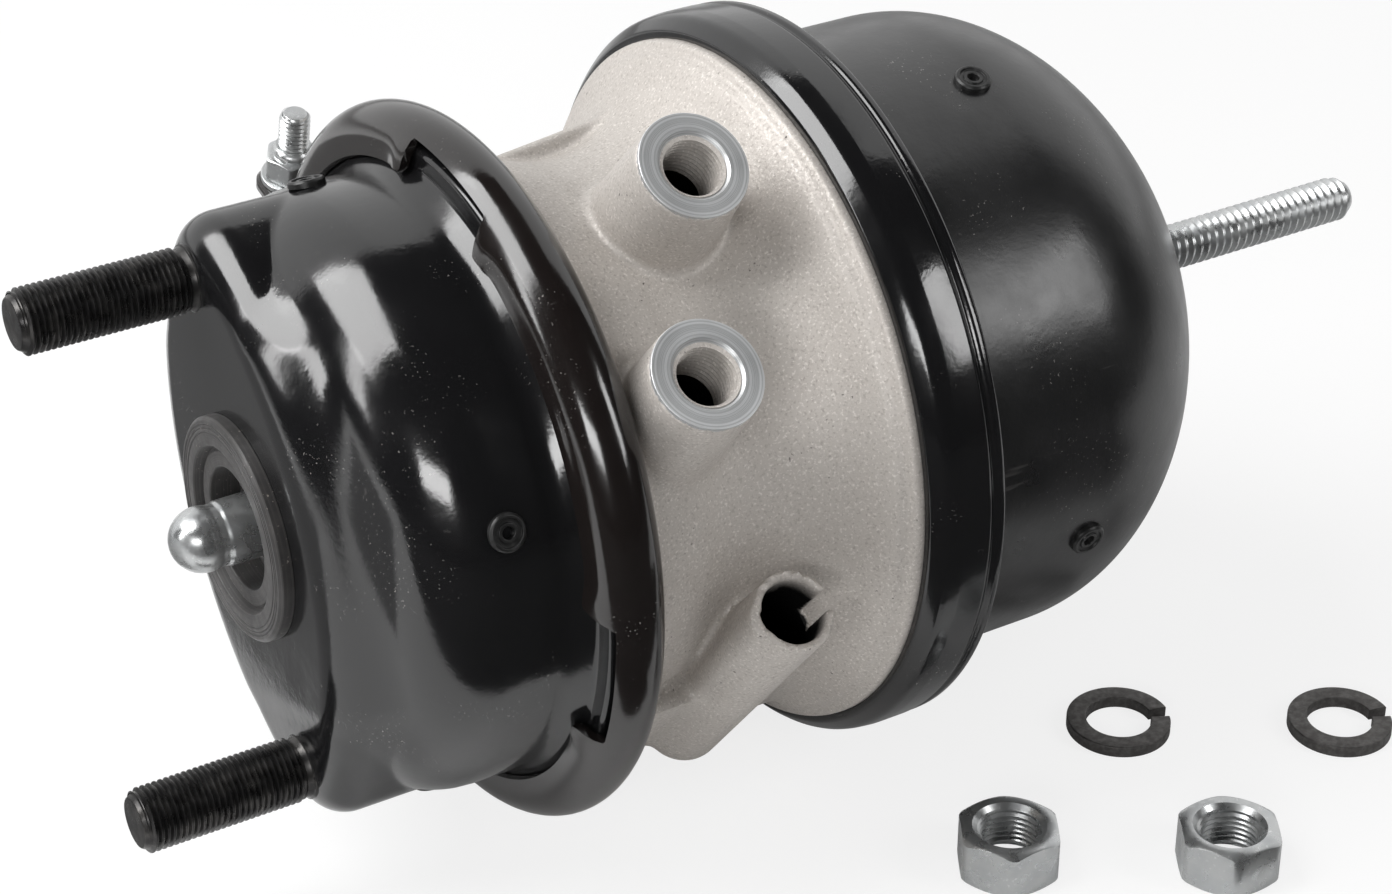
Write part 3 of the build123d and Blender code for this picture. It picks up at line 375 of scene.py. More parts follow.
def tree_math(tree, operation, *values):
    """Result of one sum on sockets or plain numbers."""
    return tree_node(tree, "ShaderNodeMath", enumerate(values), operation=operation).outputs[0]


def started_tree(name, inputs):
    """Geometry node tree with its named inputs, and the sockets that hand them on."""
    tree = bpy.data.node_groups.new(name, "GeometryNodeTree")
    tree.interface.new_socket(name="Geometry", in_out="OUTPUT", socket_type="NodeSocketGeometry")
    kinds = {float: "NodeSocketFloat", int: "NodeSocketInt", type(None): "NodeSocketGeometry"}
    for label, value in inputs.items():
        socket = tree.interface.new_socket(name=label, in_out="INPUT", socket_type=kinds[type(value)])
        if value is not None:
            socket.default_value = value
    tree.interface.new_socket(name="Material", in_out="INPUT", socket_type="NodeSocketMaterial")
    return tree, tree.nodes.new("NodeGroupInput").outputs


def ended_tree(tree, geometry, material):
    """Tree closed with real geometry in its material."""
    real = tree_node(tree, "GeometryNodeRealizeInstances", [("Geometry", geometry)]).outputs[0]
    painted = tree_node(tree, "GeometryNodeSetMaterial", [("Geometry", real), ("Material", material)])
    tree_node(tree, "NodeGroupOutput", [("Geometry", painted.outputs[0])])
    return tree


def spiral_curve(tree, given, first, last, steps):
    """Spiral round local Z with the given turns and length."""
    ends = [("Start Radius", first), ("End Radius", last), ("Resolution", steps)]
    winding = [("Rotations", given["Turns"]), ("Height", given["Length"])]
    return tree_node(tree, "GeometryNodeCurveSpiral", ends + winding).outputs[0]


@kept("node_groups")
def screw_thread(name):
    """Node tree that winds a tapered-off ridge round local Z."""
    section = {"Root Radius": 0.007, "Ridge": 0.0008, "Root Width": 0.0014, "Crest Width": 0.0003}
    winding = {"Turns": 10.0, "Length": 0.015, "Steps": 40, "Fade": 0.03}
    tree, given = started_tree(name, section | winding)
    root, ridge = given["Root Radius"], given["Ridge"]
    spiral = spiral_curve(tree, given, root, root, given["Steps"])
    upright = tree_node(tree, "GeometryNodeSetCurveNormal", [("Curve", spiral)], mode="Z_UP").outputs[0]
    lengths = [("Bottom Width", given["Root Width"]), ("Top Width", given["Crest Width"]), ("Offset", 0.0)]
    lengths.append(("Height", tree_math(tree, "ABSOLUTE", ridge)))
    trapezoid = tree_node(tree, "GeometryNodeCurvePrimitiveQuadrilateral", lengths, mode="TRAPEZOID")
    lift = tree_node(tree, "ShaderNodeCombineXYZ", [("Y", tree_math(tree, "MULTIPLY", ridge, 0.5))])
    sign = tree_math(tree, "SIGN", ridge)
    flip = tree_node(tree, "ShaderNodeCombineXYZ", [("X", 1.0), ("Y", sign), ("Z", 1.0)])
    moves = [("Geometry", trapezoid.outputs[0]), ("Translation", lift.outputs[0]), ("Scale", flip.outputs[0])]
    lifted = tree_node(tree, "GeometryNodeTransform", moves).outputs[0]
    quarter_turn = [("Geometry", lifted), ("Rotation", (0.0, 0.0, math.pi / 2))]
    turned = tree_node(tree, "GeometryNodeTransform", quarter_turn).outputs[0]
    along = tree_node(tree, "GeometryNodeSplineParameter").outputs["Factor"]
    nearest = tree_math(tree, "MINIMUM", along, tree_math(tree, "SUBTRACT", 1.0, along))
    limits = [("Value", nearest), ("From Max", given["Fade"]), ("To Min", 0.02)]
    fade = tree_node(tree, "ShaderNodeMapRange", limits).outputs["Result"]
    sweep = [("Curve", upright), ("Profile Curve", turned), ("Scale", fade), ("Fill Caps", True)]
    wound = tree_node(tree, "GeometryNodeCurveToMesh", sweep).outputs[0]
    return ended_tree(tree, wound, given["Material"])


@kept("node_groups")
def wound_spring(name):
    """Node tree that winds round wire along local Z, from one coil radius to another."""
    radii = {"First Radius": 0.035, "Last Radius": 0.035, "Wire Radius": 0.002}
    tree, given = started_tree(name, radii | {"Turns": 4.5, "Length": 0.07})
    spiral = spiral_curve(tree, given, given["First Radius"], given["Last Radius"], 48)
    circle = [("Resolution", 16), ("Radius", given["Wire Radius"])]
    section = tree_node(tree, "GeometryNodeCurvePrimitiveCircle", circle).outputs[0]
    sweep = [("Curve", spiral), ("Profile Curve", section), ("Fill Caps", True)]
    wire = tree_node(tree, "GeometryNodeCurveToMesh", sweep).outputs[0]
    return ended_tree(tree, wire, given["Material"])


@kept("node_groups")
def turned_copies(name):
    """Node tree that turns copies of a piece about the chamber axis."""
    tree, given = started_tree(name, {"Piece": None, "Copies": 4})
    points = [("Count", given["Copies"]), ("Offset", (0.0, 0.0, 0.0))]
    line = tree_node(tree, "GeometryNodeMeshLine", points).outputs[0]
    index = tree_node(tree, "GeometryNodeInputIndex").outputs[0]
    angle = tree_math(tree, "MULTIPLY", index, tree_math(tree, "DIVIDE", FULL_TURN, given["Copies"]))
    turn = tree_node(tree, "ShaderNodeCombineXYZ", [("X", angle)]).outputs[0]
    copies = [("Points", line), ("Instance", given["Piece"]), ("Rotation", turn)]
    ring = tree_node(tree, "GeometryNodeInstanceOnPoints", copies).outputs[0]
    return ended_tree(tree, ring, given["Material"])


def grown_mesh(tree, inputs, start=None):
    """Plain mesh that a node tree makes from its named inputs and an optional start mesh."""
    host = bpy.data.objects.new("grown", start or bpy.data.meshes.new("nothing"))
    bpy.context.scene.collection.objects.link(host)
    modifier = host.modifiers.new("Grow", "NODES")
    modifier.node_group = tree
    sockets = {
        item.name: item.identifier
        for item in tree.interface.items_tree
        if item.item_type == "SOCKET" and item.in_out == "INPUT"
    }
    for name, value in inputs.items():
        modifier[sockets[name]] = value
    graph = bpy.context.evaluated_depsgraph_get()
    mesh = bpy.data.meshes.new_from_object(host.evaluated_get(graph), depsgraph=graph)
    host.modifiers.remove(modifier)
    bpy.data.objects.remove(host)
    mesh.materials.clear()
    return mesh


def wound_mesh(tree, lengths, numbers, place, material):
    """Wound shape from a node tree, its lengths in millimetres, facing outwards in its place."""
    inputs = {name: value * MM for name, value in lengths.items()} | numbers
    mesh = grown_mesh(tree, inputs | {"Material": material})
    shape = bmesh.new()
    shape.from_mesh(mesh)
    bmesh.ops.recalc_face_normals(shape, faces=shape.faces)
    shape.to_mesh(mesh)
    shape.free()
    mesh.transform(place)
    return mesh


def thread_mesh(root, crest, pitch, length, place, material, steps=40, fade_turns=0.8, foot=0.92):
    """Wound ridge from a root radius to a crest radius, in millimetres, along local Z."""
    turns = length / pitch
    lengths = {"Root Radius": root, "Ridge": crest - root, "Length": length}
    lengths |= {"Root Width": foot * pitch, "Crest Width": 0.16 * pitch}
    numbers = {"Turns": turns, "Steps": steps, "Fade": fade_turns / turns}
    return wound_mesh(screw_thread(), lengths, numbers, place, material)


def piece(name, parts, body, nodes, sharp=32):
    """One object from (mesh, material) parts. It rides on a body, if one is named, and stands for nodes."""
    whole = bmesh.new()
    materials = []
    for mesh, material in parts:
        first = len(whole.faces)
        whole.from_mesh(mesh)
        whole.faces.ensure_lookup_table()
        if material not in materials:
            materials.append(material)
        number = materials.index(material)
        for index in range(first, len(whole.faces)):
            whole.faces[index].material_index = number
            whole.faces[index].smooth = True
        bpy.data.meshes.remove(mesh)
    final = bpy.data.meshes.new(name)
    whole.to_mesh(final)
    whole.free()
    for material in materials:
        final.materials.append(material)
    final.set_sharp_from_angle(angle=math.radians(sharp))
    shown = bpy.data.objects.new(name, final)
    bpy.context.scene.collection.objects.link(shown)
    if body:
        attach(shown, body)
    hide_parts(*nodes)
    return shown


class Finish:
    """Node material on object coordinates, round one principled shader."""

    def __init__(self, name, colour, roughness, metallic=0.0, **values):
        self.material = bpy.data.materials.new(name)
        self.material.use_nodes = True
        self.tree = self.material.node_tree
        self.shader = self.tree.nodes["Principled BSDF"]
        self.colour = (*colour, 1)
        self.shader.inputs["Base Color"].default_value = self.colour
        self.shader.inputs["Roughness"].default_value = roughness
        self.shader.inputs["Metallic"].default_value = metallic
        for key, value in values.items():
            self.shader.inputs[key.replace("_", " ")].default_value = value
        self.place = tree_node(self.tree, "ShaderNodeTexCoord").outputs["Object"]
        self.last_bump = None

    def noise(self, scale, detail=2.0, stretch=None, roughness=0.5):
        """Noise on object coordinates, scale in features a metre, stretched along an axis if asked."""
        place = self.place
        if stretch:
            links = [("Vector", place), ("Scale", stretch)]
            place = tree_node(self.tree, "ShaderNodeMapping", links).outputs[0]
        links = [("Vector", place), ("Scale", scale), ("Detail", detail), ("Roughness", roughness)]
        return tree_node(self.tree, "ShaderNodeTexNoise", links).outputs["Fac"]

    def attribute(self, name):
        """Attribute of the mesh."""
        return tree_node(self.tree, "ShaderNodeAttribute", attribute_name=name).outputs["Fac"]

    def rings(self, scale):
        """Noise that varies only along the run of a turned outline, as tool marks do."""
        links = [("W", self.attribute("run")), ("Scale", scale), ("Detail", 3.0)]
        return tree_node(self.tree, "ShaderNodeTexNoise", links, noise_dimensions="1D").outputs["Fac"]

    def ramp(self, source, start, end, first=0.0, last=1.0):
        """Source mapped from one range to another, clamped."""
        limits = [("From Min", start), ("From Max", end), ("To Min", first), ("To Max", last)]
        return tree_node(self.tree, "ShaderNodeMapRange", [("Value", source), *limits]).outputs["Result"]

    def level(self, scale, detail, start, end, last=1.0):
        """Share that noise gives between two levels."""
        return self.ramp(self.noise(scale, detail), start, end, 0.0, last)

    def product(self, one, other):
        """Two values multiplied."""
        return tree_math(self.tree, "MULTIPLY", one, other)

    def tint(self, share, colour):
        """Lay another colour over the base where a share says."""
        before = self.shader.inputs["Base Color"]
        below = before.links[0].from_socket if before.links else self.colour
        links = [(0, share), (6, below), (7, (*colour, 1))]
        mixed = tree_node(self.tree, "ShaderNodeMix", links, data_type="RGBA").outputs[2]
        self.tree.links.new(mixed, before)

    def spots(self, scale, detail, start, end, share, colour):
        """Lay another colour over the base where noise lies above a level."""
        self.tint(self.level(scale, detail, start, end, share), colour)

    def uneven(self, scale, detail, smooth, dull):
        """Let the roughness wander between two values."""
        source = self.ramp(self.noise(scale, detail), 0.3, 0.7, smooth, dull)
        self.tree.links.new(source, self.shader.inputs["Roughness"])

    def bump(self, height, distance):
        """Add a layer of relief, its distance in millimetres."""
        links = [("Height", height), ("Distance", distance * MM), ("Strength", 1.0)]
        if self.last_bump:
            links.append(("Normal", self.last_bump))
        self.last_bump = tree_node(self.tree, "ShaderNodeBump", links).outputs[0]
        self.tree.links.new(self.last_bump, self.shader.inputs["Normal"])

    def grain(self, scale, detail, distance):
        """Add a layer of noise as relief."""
        self.bump(self.noise(scale, detail), distance)


def finishes():
    """Colours that the user may change."""
    return bpy.context.scene.chamber_finishes


def single(node, ending, mesh, finish, body="root", sharp=32):
    """Piece of one mesh that stands for one node, in the finish given."""
    return piece(f"{node}_{ending}", [(mesh, finish())], body, [node], sharp)


def black_paint(name, colour, roughness, peel, fine):
    """Black stoved paint with dust, handling scratches and a slight orange peel."""
    finish = Finish(name, colour, roughness, Specular_IOR_Level=0.8)
    dust = finish.product(finish.level(1500, 1, 0.70, 0.76), finish.level(45, 2, 0.52, 0.66))
    finish.tint(dust, (0.22, 0.21, 0.2))
    streaks = finish.ramp(finish.noise(160, 3, (0.25, 2.2, 2.2)), 0.66, 0.72)
    scuffs = finish.product(streaks, finish.level(30, 1, 0.55, 0.7))
    finish.tint(finish.product(scuffs, 0.25), (0.16, 0.15, 0.145))
    finish.uneven(70, 4, roughness - 0.035, roughness + 0.06)
    finish.grain(320, 2, peel)
    finish.grain(1100, 2, fine)
    return finish.material


@kept("materials", "_finish")
def gloss_black_paint(name):
    """Gloss paint of the front pot and the rings."""
    return black_paint(name, finishes().black_paint, finishes().gloss, 0.03, 0.012)


@kept("materials", "_finish")
def satin_black_paint(name):
    """Slightly duller paint of the rear pot."""
    return black_paint(name, finishes().black_paint, finishes().satin, 0.04, 0.016)


@kept("materials", "_finish")
def band_paint(name):
    """Gloss paint of the clamp band, a shade browner."""
    return black_paint(name, finishes().band_paint, finishes().gloss, 0.02, 0.008)


@kept("materials", "_finish")
def cast_aluminium(name):
    """Blasted die casting: warm grey, sparkling grain and a few dark pores, with painted shade near the
    bottom of the pocket's bore.
    """
    finish = Finish(name, finishes().aluminium, 0.55, 0.3)
    finish.spots(28, 3, 0.35, 0.7, 0.4, (0.44, 0.405, 0.375))
    finish.spots(1500, 2, 0.56, 0.7, 0.6, (0.84, 0.8, 0.76))
    finish.spots(1300, 2, 0.56, 0.7, 0.5, (0.32, 0.29, 0.265))
    pores = finish.product(finish.level(900, 1, 0.73, 0.78), finish.level(40, 1, 0.5, 0.62))
    finish.tint(pores, (0.1, 0.09, 0.08))
    # Painted shade: the storage pocket's bore is tinted near black towards its bottom.
    finish.tint(finish.attribute("painted_bore_shade"), (0.004, 0.004, 0.004))
    finish.uneven(1300, 2, 0.42, 0.66)
    finish.grain(420, 3, 0.06)
    finish.bump(finish.noise(1400, 2, roughness=0.7), 0.09)
    return finish.material


@kept("materials", "_finish")
def machined_aluminium(name):
    """Turned face with concentric tool marks."""
    finish = Finish(name, finishes().machined, 0.38, 0.6)
    marks = finish.rings(6.0)
    finish.tint(finish.ramp(marks, 0.35, 0.65, 0, 0.6), (0.25, 0.255, 0.26))
    finish.tint(finish.ramp(finish.rings(1.3), 0.5, 0.62, 0, 0.7), (0.85, 0.86, 0.87))
    finish.uneven(90, 3, 0.28, 0.48)
    finish.bump(marks, 0.03)
    finish.grain(600, 2, 0.004)
    return finish.material


@kept("materials", "_finish")
def zinc_plated_steel(name):
    """Bright zinc with cloudy patches and small handling marks."""
    finish = Finish(name, finishes().zinc, 0.32, 0.88)
    finish.spots(150, 3, 0.42, 0.72, 0.4, (0.4, 0.42, 0.44))
    finish.spots(900, 2, 0.62, 0.75, 0.5, (0.85, 0.86, 0.86))
    finish.uneven(260, 3, 0.2, 0.42)
    finish.grain(700, 3, 0.006)
    return finish.material


@kept("materials", "_finish")
def black_oxide_steel(name):
    """Oiled black oxide on the rolled threads."""
    finish = Finish(name, finishes().black_oxide, 0.3, 0.85)
    finish.spots(240, 3, 0.45, 0.7, 0.6, (0.12, 0.115, 0.11))
    finish.uneven(300, 3, 0.22, 0.42)
    finish.grain(900, 2, 0.008)
    return finish.material


@kept("materials", "_finish")
def phosphated_steel(name):
    """Dull grey phosphate on the spring washers."""
    finish = Finish(name, finishes().phosphate, 0.5, 0.75)
    finish.spots(700, 3, 0.4, 0.7, 0.6, (0.17, 0.165, 0.16))
    finish.uneven(500, 2, 0.4, 0.62)
    finish.grain(1400, 3, 0.02)
    return finish.material


@kept("materials", "_finish")
def spring_steel(name):
    """Oil-tempered wire."""
    finish = Finish(name, (0.075, 0.07, 0.066), 0.42, 0.9)
    finish.spots(60, 4, 0.45, 0.75, 0.7, (0.14, 0.1, 0.075))
    finish.uneven(300, 2, 0.32, 0.55)
    finish.grain(1100, 2, 0.01)
    return finish.material


@kept("materials", "_finish")
def plain_steel(name):
    """Pressed and turned steel left bare inside."""
    finish = Finish(name, (0.42, 0.42, 0.43), 0.36, 1.0)
    finish.spots(50, 4, 0.45, 0.75, 0.5, (0.26, 0.25, 0.24))
    finish.uneven(180, 3, 0.28, 0.46)
    finish.grain(800, 2, 0.008)
    return finish.material


def rubber(name, roughness):
    """Moulded rubber, matt and slightly dusty."""
    finish = Finish(name, finishes().rubber, roughness, Sheen_Weight=0.12, Sheen_Roughness=0.5)
    finish.spots(260, 3, 0.45, 0.75, 0.6, (0.055, 0.051, 0.049))
    finish.tint(finish.ramp(finish.rings(2.2), 0.5, 0.62, 0, 0.5), (0.07, 0.065, 0.062))
    dust = finish.product(finish.level(1300, 1, 0.7, 0.76), finish.level(90, 1, 0.45, 0.6))
    finish.tint(dust, (0.3, 0.27, 0.24))
    finish.uneven(420, 2, roughness - 0.08, roughness + 0.08)
    finish.grain(1600, 3, 0.012)
    return finish.material


@kept("materials", "_finish")
def seal_rubber(name):
    """Hard rubber of the front seal and rod seals."""
    return rubber(name, 0.46)


@kept("materials", "_finish")
def diaphragm_rubber(name):
    """Duller fabric-backed rubber of the diaphragms."""
    return rubber(name, 0.66)


@kept("materials", "_finish")
def black_plastic(name):
    """Moulded plastic of the drain plugs."""
    finish = Finish(name, finishes().plastic, 0.34)
    finish.spots(500, 2, 0.55, 0.75, 0.5, (0.05, 0.05, 0.05))
    finish.uneven(300, 2, 0.28, 0.46)
    finish.grain(1400, 2, 0.01)
    return finish.material


@kept("materials", "_finish")
def bearing_plastic(name):
    """Pale wear-resistant plastic of the guide bush."""
    finish = Finish(name, (0.5, 0.44, 0.33), 0.42)
    finish.spots(120, 3, 0.4, 0.7, 0.4, (0.4, 0.35, 0.27))
    finish.grain(900, 2, 0.01)
    return finish.material


def fillet_join(one, other, fillet):
    """Union of two signed distances with a round fillet between them."""
    near = np.hypot(np.maximum(fillet - one, 0), np.maximum(fillet - other, 0))
    return np.maximum(fillet, np.minimum(one, other)) - near


def round_meet(one, other, edge):
    """Intersection of two signed distances with a rounded edge."""
    near = np.hypot(np.maximum(edge + one, 0), np.maximum(edge + other, 0))
    return np.minimum(-edge, np.maximum(one, other)) + near


def smooth(share):
    """Share eased in and out."""
    return share * share * (3 - 2 * share)


def lens_distance(along, across, reach, end_round, flank, drop):
    """Signed distance to a lens outline made of two flank arcs and two end arcs."""
    along = np.abs(along)
    across = np.abs(across)
    at_end = (across + drop) * reach < along * drop
    to_end = np.hypot(along - reach, across) - end_round
    to_flank = np.hypot(along, across + drop) - flank
    return np.where(at_end, to_end, to_flank)


def front_pot_distance(points, sizes):
    """Signed distance to the pressed front: a rounded drum with the lens pad standing out of it."""
    x, y, z = points[..., 0], points[..., 1], points[..., 2]
    radius = np.hypot(y, z)
    corner = sizes.drum_corner / MM
    past_front = sizes.shoulder / MM + corner - x
    past_side = radius - sizes.drum_radius / MM + corner
    drum = np.hypot(np.maximum(past_front, 0), np.maximum(past_side, 0)) - corner
    drum += np.minimum(np.maximum(past_front, past_side), 0)
    turn = clock_vector(STUD_CLOCK)
    along = y * turn.y + z * turn.z
    across = y * turn.z - z * turn.y
    edge = sizes.pad_edge_round / MM
    end_round = sizes.pad_end_round / MM
    half_width = sizes.pad_half_width / MM
    reach = (sizes.drum_radius - sizes.pad_inset) / MM - end_round
    flank = (reach**2 + half_width**2 - end_round**2) / (2 * (half_width - end_round))
    side = lens_distance(along, across, reach, end_round - edge, flank - edge, flank - half_width)
    front = edge - x
    pad = np.hypot(np.maximum(side, 0), np.maximum(front, 0)) - edge
    pad += np.minimum(np.maximum(side, front), 0)
    fade_start, fade_length, least = 42, 22, 0.4
    fade = smooth(np.clip((np.abs(along) - fade_start) / fade_length, 0, 1))
    fillet = sizes.pad_blend / MM * (1 - fade) + least
    return fillet_join(pad, drum, fillet)


def cast_rays(distance, centre, directions, offset, near=8.0, far=130.0):
    """Points where rays from inside a shape meet its surface, moved inwards by an offset."""
    start = np.full(directions.shape[:-1], near)
    end = np.full(directions.shape[:-1], far)
    for _ in range(26):
        middle = (start + end) / 2
        outside = distance(centre + directions * middle[..., None]) > -offset
        end = np.where(outside, middle, end)
        start = np.where(outside, start, middle)
    return centre + directions * ((start + end) / 2)[..., None]


def front_pot_mesh(sizes):
    """Shell of the front pot: rays over the pressed face, then the drum, its flare and the flange."""
    ray_start = 30.0
    columns = 320
    clocks = np.arange(columns) * FULL_TURN / columns
    wall = sizes.wall / MM
    hole = sizes.seal_hole / MM
    drum = sizes.drum_radius / MM
    mouth = drum + sizes.flare_rise / MM
    turn = np.stack([np.zeros_like(clocks), np.sin(clocks), np.cos(clocks)], -1)[None]

    def skin(offset, count):
        first = math.atan2(hole, ray_start - offset)
        angles = np.linspace(first, math.pi / 2, count)[:, None, None]
        directions = np.sin(angles) * turn - np.cos(angles) * np.array((1.0, 0, 0))
        centre = np.array((ray_start, 0.0, 0.0))
        return cast_rays(lambda p: front_pot_distance(p, sizes), centre, directions, offset)

    outer = skin(0.0, 150)
    inner = skin(wall, 56)
    bend, edge = sizes.flare_start / MM, POT_BACK - wall
    outside = [(ray_start, drum, 0), (34, drum, 0), (bend, drum, 9), (edge, mouth, 2.2)]
    rim = [(edge, FLANGE_RADIUS, 1.3), (POT_BACK, FLANGE_RADIUS, 0.9)]
    inside = [(POT_BACK, mouth - wall, 2.0), (bend, drum - wall, 9), (ray_start, drum - wall, 0)]
    flange = rounded([*outside, *rim, *inside], closed=False)[1:-1]
    rings = flange[:, 0][:, None, None] * np.array((1.0, 0, 0)) + flange[:, 1][:, None, None] * turn
    return grid_mesh(np.concatenate([outer, rings, inner[::-1]]))


class CHAMBER_OT_front_pot(bpy.types.Operator):
    """Pressed front pot with its mounting pad, flare and flange"""

    bl_idname = "chamber.front_pot"
    bl_label = "Front pot"

    def execute(self, context):
        mesh = front_pot_mesh(context.scene.chamber_pots)
        single("front_pot", "pressing", mesh, gloss_black_paint, sharp=50)
        return {"FINISHED"}


class CHAMBER_OT_rear_pot(bpy.types.Operator):
    """Domed rear pot that holds the power spring"""

    bl_idname = "chamber.rear_pot"
    bl_label = "Rear pot"

    def execute(self, context):
        sizes = context.scene.chamber_pots
        wall = sizes.rear_wall / MM
        outside = sizes.rear_radius / MM
        start = sizes.dome_start / MM
        drop = sizes.dome_drop / MM
        flat = sizes.dome_flat / MM
        hole = 8.0

        def dome(inset, count):
            long = sizes.dome_length / MM - inset
            rise = outside + drop - inset
            last = math.asin((flat + drop) / rise)
            angles = np.linspace(math.pi / 2, last, count)
            return np.stack([start + long * np.cos(angles), rise * np.sin(angles) - drop], -1)

        outer = dome(0, 60)
        inner = dome(wall, 40)
        flange_back = REAR_FLANGE_FRONT + wall
        rim = REAR_FLANGE_RADIUS
        front = [(REAR_FLANGE_FRONT, outside - wall, 1.5), (REAR_FLANGE_FRONT, rim, 0.8)]
        front += [(flange_back, rim, 0.8), (flange_back, outside, 3.5), (start, outside, 0)]
        hole_edge = [(DOME_END, flat, 2.5), (DOME_END, hole, 0.5)]
        hole_edge += [(DOME_END - wall, hole, 0.5), (DOME_END - wall, flat, 2.0)]
        end = rounded([(*outer[-2], 0), *hole_edge, (*inner[-2], 0)], closed=False)
        outline = np.concatenate([rounded(front)[:-1], outer[:-2], end, inner[:-2][::-1]])
        mesh = turned_mesh(outline, segments=256)
        single("rear_pot", "pressing", mesh, satin_black_paint, sharp=50)
        return {"FINISHED"}


class CHAMBER_OT_crimp_ring(bpy.types.Operator):
    """Ring rolled over the joint between the housing and the rear pot"""

    bl_idname = "chamber.crimp_ring"
    bl_label = "Crimp ring"

    def execute(self, context):
        front, back, top = RING_FRONT, RING_BACK, RING_RADIUS
        hem, mouth = 85.6, 88.4
        held = REAR_FLANGE_RADIUS + 0.2
        joint_front = CAST_BACK - 5.4
        joint_back = REAR_FLANGE_FRONT + 3.6
        crown = [(front, mouth, 0.5), (front, 90.6, 1.6)]
        crown += [(front + 3.2, top - 0.5, 4.0), (front + 7.5, top, 6.0)]
        bead = [(back - 5.6, top, 1.4), (back - 4.4, top - 1.0, 0.9), (back - 3.2, top - 0.1, 1.2)]
        bead += [(back - 1.4, top - 0.2, 1.4), (back - 0.1, top - 2.2, 1.4), (back, hem, 0.9)]
        inside = [(joint_back, hem, 0.6), (joint_back, held, 0.3)]
        inside += [(joint_front, held, 0.3), (joint_front, mouth, 0.5)]
        outline = rounded([*crown, *bead, *inside])
        mesh = turned_mesh(outline, segments=288)
        single("crimp_ring", "rolled", mesh, gloss_black_paint, sharp=50)
        return {"FINISHED"}


def clamp_band_mesh():
    """Half-round channel round the clamped flanges, its front wall cut back at the windows."""
    wall = 2.6
    outer_half = BAND_OUTER_HALF
    inner_half = outer_half - wall
    base = 81.6
    lip = 78.5
    window_radius = 87.3
    window_half = 12.5
    window_soft = 2.4
    gap_half = math.degrees(math.atan2(14.0, 86.0))
    clocks = np.linspace(BAND_CLOCK + gap_half, BAND_CLOCK + 360 - gap_half, 700)
    opened = np.zeros_like(clocks)
    flared = np.zeros_like(clocks)
    for window in BAND_WINDOWS:
        apart = np.abs((clocks - window + 180) % 360 - 180)
        step = np.clip((window_half - apart) / window_soft + 0.5, 0, 1)
        opened = np.maximum(opened, smooth(step))
        flared += np.exp(-(((apart - window_half - 2.0) / 3.0) ** 2))

    def wall_points(half, front, count):
        """One side of the channel from its crown to its lip, at each clock."""
        edge = lip + (window_radius - lip) * opened if front else np.full_like(clocks, lip)
        arc = half * math.pi / 2
        straight = base - edge
        length = np.where(straight > 0, arc + straight, half * np.arccos(np.clip((edge - base) / half, 0, 1)))
        run = np.linspace(0, 1, count)[:, None] * length[None]
        angle = np.minimum(run, arc) / half
        radius = base + half * np.cos(angle) - np.maximum(run - arc, 0)
        offset = half * np.sin(angle)
        if front:
            lean = np.clip((base + 4 - radius) / 7, 0, 1) * flared[None] * 1.3
            return BAND_MIDDLE - offset - lean, radius
        return BAND_MIDDLE + offset, radius

    front_out = wall_points(outer_half, True, 15)
    rear_out = wall_points(outer_half, False, 15)
    front_in = wall_points(inner_half, True, 12)
    rear_in = wall_points(inner_half, False, 12)

    def lip_point(one, other):
        return tuple((a[-1:] + b[-1:]) / 2 - shift for a, b, shift in zip(one, other, (0.0, 0.55)))

    front_lip = lip_point(front_out, front_in)
    rear_lip = lip_point(rear_out, rear_in)

    def joined(index):
        """Section at each clock, from the front lip over the crown and back along the inside."""
        outside = [front_lip[index], front_out[index][::-1], rear_out[index][1:]]
        inside = [rear_lip[index], rear_in[index][::-1], front_in[index][1:]]
        return np.concatenate(outside + inside).T

    along, radius = joined(0), joined(1)
    turn = np.radians(clocks)[:, None]
    points = np.stack([along, radius * np.sin(turn), radius * np.cos(turn)], -1)
    return grid_mesh(points, False, True, caps=True)


def lug_place(offset):
    """Place at the clamp bolt's line, its local Z along the bolt."""
    return placed(
        Vector((BAND_MIDDLE, 0, 0)) + clock_vector(BAND_CLOCK - 90) * offset,
        clock_vector(BAND_CLOCK - 90),
        (1, 0, 0),
    )


class CHAMBER_OT_clamp_band(bpy.types.Operator):
    """Clamp band with its windows and the two lugs"""

    bl_idname = "chamber.clamp_band"
    bl_label = "Clamp band"

    def execute(self, context):
        paint = band_paint()
        parts = [(clamp_band_mesh(), paint)]
        inner, outer, half, thick = 80.0, 104.0, 8.5, 4.0
        outline = rounded([(-half, -outer, 5), (half, -outer, 5), (half, -inner, 1), (-half, -inner, 1)])
        for start in LUG_STARTS:
            plate = lug_place(start)
            outwards = (plate.to_3x3() @ Vector((0, 1, 0))).dot(clock_vector(BAND_CLOCK)) > 0
            shape = outline * np.array((1, -1 if outwards else 1))
            parts.append((slab_mesh(shape, thick, 0.8, plate), paint))
        piece("clamp_band_channel", parts, "root", ["clamp_band"], sharp=45)
        return {"FINISHED"}


